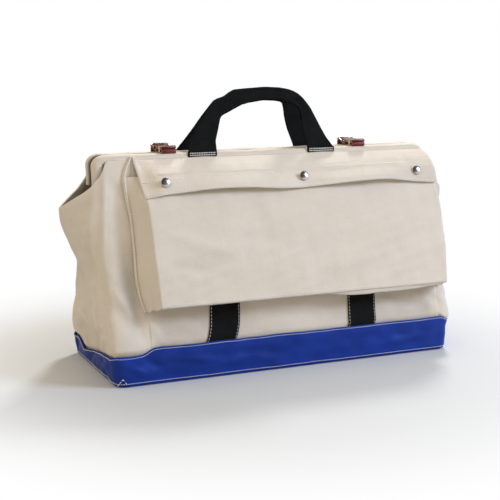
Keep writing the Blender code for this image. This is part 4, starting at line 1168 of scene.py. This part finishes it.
def makeHandle(face, out):
    # the web's cross section at each station: a layer from edge to edge, then the folded part behind
    joint = joints[face + "_grip_swing"]["pos_m"]
    rows = np.array(grip[face])
    number = np.linspace(0, len(rows) - 1, 181)
    edge = np.stack([np.interp(number, np.arange(len(rows)), rows[:, i]) for i in range(4)], axis=1)
    for _ in range(3):
        edge[1:-1] = (edge[:-2] + 2 * edge[1:-1] + edge[2:]) / 4
    outer, inner = edge[:, :2], edge[:, 2:]
    wide = np.linalg.norm(outer - inner, axis=1)[:, None]
    folded = np.clip(grip["web"] - wide, 0.0010, wide * 0.94)
    gap = grip["gap"] + grip["gapMore"] * softStep(0.0, 0.012, folded)
    flat = np.linspace(0, 1, 27)[None, :]
    bend = np.linspace(-math.pi / 2, math.pi / 2, 7)[1:-1][None, :]
    behind = np.linspace(1, 0, 17)[None, :]
    toEdge = (outer - inner) / wide
    # places across the layer, and depths behind its face
    layer = wide - gap / 2
    across = np.concatenate([flat * layer, layer + np.cos(bend) * gap / 2,
                             layer - folded + behind * folded], axis=1)
    deep = np.concatenate([0 * flat + 0 * wide, (1 + np.sin(bend)) / 2 * gap,
                           gap + grip["bulge"] * np.sin(math.pi * behind)], axis=1)
    roll = knots(number, grip["rollAt"], grip["rollShare"])[:, None]
    inGrip = (softStep(4.0, 7.0, number) * softStep(16.0, 13.5, number))[:, None]
    deep = deep + grip["roll"] * inGrip * softStep(roll - 0.06, roll + 0.06, across / wide)
    walked = walk((outer + inner) / 2)[:, None]
    free = softStep(0.0, 0.03, walked) * softStep(walked[-1], walked[-1] - 0.03, walked)
    deep = deep - grip["uneven"] * ripple(walked, across, 71 + out, 0.05) * free
    off = grip["lift"] - deep
    x = inner[:, 0:1] + toEdge[:, 0:1] * across
    up = inner[:, 1:2] + toEdge[:, 1:2] * across
    tilt = out * grip["lean"]
    points = grid(x, joint[1] - up * math.sin(tilt) + out * off * math.cos(tilt),
                  joint[2] + up * math.cos(tilt) + out * off * math.sin(tilt))
    cloth = np.concatenate([flat * wide, wide + 0.0010 * (1 + np.sin(bend)),
                            wide + 0.0020 + (1 - behind) * folded], axis=1)
    points, uv = flipped(out > 0, points, grid(cloth, walked))
    mesh = sheetMesh(face + "HandleWeb", points, grip["thick"], uv)
    pieceFrom(mesh, web, face + "_grip", (face + "_handle",))


def makeHandleEnds(face, out):
    # the handle's ends, sewn to the hem with two rows of white stitches
    rows = []
    for tag, _ in sides:
        node = "%s_handle_base_%s" % (face, tag)
        low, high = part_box(node)
        x = np.linspace(low.x, high.x, 21)[None, :]
        z = np.linspace(low.z, high.z + grip["endRise"], 9)[:, None]
        outer = low.y if out < 0 else high.y
        away = out * grip["endBulge"]
        y = outer + away * np.cos((x - low.x) / (high.x - low.x) * math.tau)
        points, uv = flipped(out < 0, grid(x, y, z), grid(x, z))
        mesh = sheetMesh("%sHandleEnd%s" % (face, tag.capitalize()), points, grip["endThick"], uv)
        pieceFrom(mesh, web, face + "_frame", (node,))
        for rise in grip["endRows"]:
            line = np.linspace(low.x + grip["endInset"], high.x - grip["endInset"], 30)
            rows.append((grid(line, outer + away, low.z + rise), (0, out, 0.0)))
    mesh = stitchMesh(face + "HandleStitching", rows, grip["endPitch"], grip["endThread"])
    pieceFrom(mesh, whiteThread, face + "_frame")


for face, out in faces:
    makeHandle(face, out)
for face, out in faces:
    makeHandleEnds(face, out)
print("webs and handles ready")


# Straps and buckles; their leather has its own finish on the cut edges
straps = {"thick": 0.0022, "tongue": 0.0024, "rounding": 0.30, "sag": 0.0006, "edgeFrom": 0.6}
buckle = {"wire": 0.0010, "corner": 0.0036, "inset": 0.0014, "pitch": 0.0011, "roller": 0.0015,
          "prong": 0.00085, "prongRise": 0.0024, "prongDrop": 0.0046, "prongShare": 0.92,
          "loop": 0.0022, "loopWire": 0.0007}


def strapPiece(name, centre, half, thick, points, body, replaces):
    # a flat section with rounded edges, half wide across X, carried along (y, z) points
    way = unit(np.gradient(points, axis=0))
    angles = np.linspace(0, math.pi / 2, 4)
    ring = corners(half, thick / 2, thick * straps["rounding"], 0.0, angles)
    ring = np.roll(ring, -len(angles), axis=0)
    rings = grid(centre + ring[:, 0], points[:, 0:1] - way[:, 1:2] * ring[:, 1],
                 points[:, 1:2] + way[:, 0:1] * ring[:, 1])
    mesh = tubeMesh(name, rings)
    pieceFrom(mesh, oxblood, body, replaces, (tanLeather,))
    normals = np.zeros(len(mesh.polygons) * 3, np.float32)
    mesh.polygons.foreach_get("normal", normals)
    cut = np.abs(normals[::3]) > straps["edgeFrom"]
    mesh.polygons.foreach_set("material_index", cut.astype(np.int32))


def arc(y, z, radius, start, end, count):
    # (y, z) points round a middle
    turn = np.linspace(start, end, count)
    return np.stack([y + radius * np.cos(turn), z + radius * np.sin(turn)], axis=1)


def makeStrap(tag):
    title, thick = tag.capitalize(), straps["thick"]
    chapeLow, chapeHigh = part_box("buckle_chape_" + tag)
    strapLow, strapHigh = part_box("strap_" + tag)
    anchorLow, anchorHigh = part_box("strap_anchor_" + tag)
    centre = (chapeLow.x + chapeHigh.x) / 2
    half = (strapHigh.x - strapLow.x) / 2
    # the chape: down the front, over the hem, round the heel bar and back
    heel = joints["buckle_tip_" + tag]["pos_m"][1]
    low, high = chapeLow.z + thick / 2, chapeHigh.z - thick / 2
    mid, r = (low + high) / 2, (high - low) / 2
    points = np.concatenate([
        np.linspace([chapeLow.y, low], [heel, low], 12)[:-1],
        arc(heel, mid, r, -math.pi / 2, math.pi / 2, 13),
        np.linspace([heel, high], [chapeLow.y + r, high], 12)[1:],
        arc(chapeLow.y + r, mid, r, math.pi / 2, math.pi * 1.35, 11)[1:]])
    strapPiece("chape" + title, centre, half, thick, points, "front_frame",
               ("buckle_chape_" + tag,))
    # the tongue: from the anchor over the mouth, under the buckle's bar and through the keeper
    s = np.linspace(0, 1, 40)
    sag = straps["sag"] * np.sin(s * math.pi * 2)
    points = grid(strapHigh.y + (strapLow.y - strapHigh.y) * s, (strapLow.z + strapHigh.z) / 2 + sag)
    strapPiece("strapTongue" + title, centre, half, straps["tongue"], points, "strap_end_" + tag,
               ("strap_" + tag,))
    # the anchor, which rises from the back hem and turns over to meet the tongue
    y, top = (anchorLow.y + anchorHigh.y) / 2, anchorHigh.z - thick
    points = np.concatenate([np.linspace([y, anchorLow.z], [y, top], 10)[:-1],
                             arc(y - thick, top, thick, 0, math.pi / 2, 9)])
    strapPiece("strapAnchor" + title, centre, half, thick, points, "back_frame",
               ("strap_anchor_" + tag,))


def makeBuckle(tag):
    # the frame is a bent wire in the plane through its heel bar, with a roller at its far side
    title = tag.capitalize()
    chapeLow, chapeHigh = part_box("buckle_chape_" + tag)
    low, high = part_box("buckle_frame_" + tag)
    centre, inset, corner = (chapeLow.x + chapeHigh.x) / 2, buckle["inset"], buckle["corner"]
    wide = (high.x - low.x) / 2 - inset
    heel = np.array(joints["buckle_tip_" + tag]["pos_m"][1:])
    tip = np.array([high.y - inset, high.z - inset])
    reach = np.linalg.norm(tip - heel)
    way = (tip - heel) / reach
    line = corners(wide, reach / 2, corner, reach / 2, np.arange(7) * math.pi / 12)
    path = grid(centre + line[:, 0], heel[0] + way[0] * line[:, 1], heel[1] + way[1] * line[:, 1])
    path = resample(np.concatenate([path, path[:1]]), buckle["pitch"])[0]
    mesh = wireMesh("buckleFrame" + title, path, buckle["wire"], 12, closed=True)
    pieceFrom(mesh, nickel, "buckle_" + tag, ("buckle_frame_" + tag,))
    path = grid(centre + np.linspace(-wide + corner, wide - corner, 12), *tip)
    mesh = wireMesh("buckleRoller" + title, path, buckle["roller"], 20)
    pieceFrom(mesh, nickel, "buckle_" + tag)
    # the prong, and the loop by which it turns on the heel bar
    low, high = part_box("prong_" + tag)
    steps, foot = np.linspace(0, buckle["prongShare"], 16), heel[1] + buckle["prongRise"]
    path = grid(centre, heel[0] + (high.y - heel[0]) * steps,
                foot + (high.z - buckle["prongDrop"] - foot) * steps ** 0.85)
    mesh = wireMesh("prong" + title, path, buckle["prong"], 10)
    pieceFrom(mesh, nickel, "pin_" + tag, ("prong_" + tag,))
    path = grid(centre, *arc(*heel, buckle["loop"], 0, math.tau, 25)[:-1].T)
    mesh = wireMesh("prongLoop" + title, path, buckle["loopWire"], 8, closed=True)
    pieceFrom(mesh, nickel, "pin_" + tag)
    setLook(nickel, "strap_keeper_" + tag, "strap_rivet_" + tag)


for tag, _ in sides:
    makeStrap(tag)
    makeBuckle(tag)
print("straps and buckles ready")


# Floor, light and camera
stageLook = {"floor": (0.60, 0.612, 0.625), "bounce": (0.50, 0.50, 0.50), "half": 40, "drop": 0.0004,
             "near": 0.34, "far": 0.74, "glow": 0.02, "white": (1, 1, 1, 1),
             "sky": 0.95, "skyColour": (1.0, 0.89, 0.71), "skyWay": (-0.72, -0.25, 0.65),
             "skyStops": ((0.0, 0.10), (0.5, 0.42), (0.8, 0.80), (1.0, 1.0)),
             "mirrorWay": (0.85, -0.50, 0.02),
             "mirrorStops": ((0.10, (0.03, 0.03, 0.028)), (0.79, (0.12, 0.118, 0.11)),
                             (0.93, (1.15, 1.15, 1.16)))}
lamps = {"key": {"way": (0.68, -0.51, 0.53), "far": 5.0, "size": 1.6, "power": 180.0,
                 "colour": (0.64, 0.765, 1.0)},
         "top": {"way": (0.42, 0.50, 0.757), "far": 4.0, "size": 0.7, "power": 96.0,
                 "colour": (1.0, 0.99, 0.97)}}


def makeFloor():
    half, white = stageLook["half"], stageLook["white"]
    mesh = bpy.data.meshes.new("floor")
    mesh.from_pydata([(-half, -half, 0), (half, -half, 0), (half, half, 0), (-half, half, 0)], [],
                     [(0, 1, 2, 3)])
    floor = bpy.data.objects.new("floor", mesh)
    bpy.context.scene.collection.objects.link(floor)
    floor.location = (0, 0, -stageLook["drop"])
    look = Look("floor", stageLook["floor"], 0.95, specular=0.0)
    mesh.materials.append(look.material)
    # far from the bag the floor shines for the camera alone, so that it meets the white backdrop
    far = look.add("VectorMath", {0: look.place}, operation="LENGTH").outputs["Value"]
    inputs = {"Value": far, "From Min": stageLook["near"], "From Max": stageLook["far"],
              "To Min": 0.0, "To Max": 1.0}
    rise = look.add("MapRange", inputs, interpolation_type="SMOOTHSTEP").outputs["Result"]
    seen = look.add("LightPath").outputs["Is Camera Ray"]
    # the floor gives back less light than the camera sees, so that the bag's under side stays dark
    look.set("Base Color", look.mix(seen, (*stageLook["bounce"], 1), (*stageLook["floor"], 1)))
    look.set("Emission Color", white)
    look.set("Emission Strength", look.math("MULTIPLY", seen, stageLook["glow"]))
    shine = look.add("Emission", {"Color": white, "Strength": 1.0}).outputs[0]
    shown = look.blend(look.math("MULTIPLY", rise, seen), look.shader.outputs[0], shine)
    look.feed(look.tree.nodes["Material Output"].inputs["Surface"], shown)


def makeSky():
    # the world lights the bag with a warm sky, is white to the camera, and metal mirrors its own
    world = bpy.data.worlds.new("softStudio")
    bpy.context.scene.world = world
    world.use_nodes = True
    world.node_tree.nodes.clear()
    tree = Nodes(world.node_tree)
    ray = tree.add("LightPath").outputs
    way = tree.add("TexCoord").outputs["Generated"]
    mirror = tree.ramp(tree.dot(way, stageLook["mirrorWay"]), *stageLook["mirrorStops"])
    level = tree.math("MULTIPLY_ADD", tree.dot(way, stageLook["skyWay"]), 0.5, 0.5)
    light = tree.ramp(level, *((place, (value,) * 3) for place, value in stageLook["skyStops"]))
    strength = tree.math("MULTIPLY", light, stageLook["sky"])
    sky, reflected, white = (
        tree.add("Background", {"Color": colour, "Strength": power}).outputs[0]
        for colour, power in (((*stageLook["skyColour"], 1), strength), (mirror, 1.0),
                              (stageLook["white"], 1.0)))
    lit = tree.blend(ray["Is Glossy Ray"], sky, reflected)
    tree.add("OutputWorld", {"Surface": tree.blend(ray["Is Camera Ray"], lit, white)})


def makeLamp(name, settings):
    lamp = bpy.data.lights.new(name, "AREA")
    lamp.size = settings["size"]
    lamp.energy = settings["power"]
    lamp.color = settings["colour"]
    holder = bpy.data.objects.new(name, lamp)
    bpy.context.scene.collection.objects.link(holder)
    holder.location = Vector(settings["way"]) * settings["far"]
    holder.rotation_euler = Vector(settings["way"]).to_track_quat("Z", "Y").to_euler()


# The photograph's view: from the front left and a little above, with a long lens
view = {"azimuth": math.radians(-23.8), "elevation": math.radians(10.1), "distance": 2.0,
        "target": (-0.014, 0.022, 0.177), "sensor": 36.0, "focalShare": 1140 / 500}


def makeCamera():
    level = math.cos(view["elevation"])
    back = Vector((math.sin(view["azimuth"]) * level, -math.cos(view["azimuth"]) * level,
                   math.sin(view["elevation"])))
    data = bpy.data.cameras.new("camera")
    data.sensor_width = view["sensor"]
    data.lens = view["sensor"] * view["focalShare"]
    camera = bpy.data.objects.new("camera", data)
    bpy.context.scene.collection.objects.link(camera)
    camera.location = Vector(view["target"]) + back * view["distance"]
    camera.rotation_euler = (-back).to_track_quat("-Z", "Y").to_euler()
    bpy.context.scene.camera = camera


makeFloor()
makeSky()
for name, settings in lamps.items():
    makeLamp(name, settings)
makeCamera()
bpy.context.scene.view_settings.view_transform = "Standard"
print("stage ready")
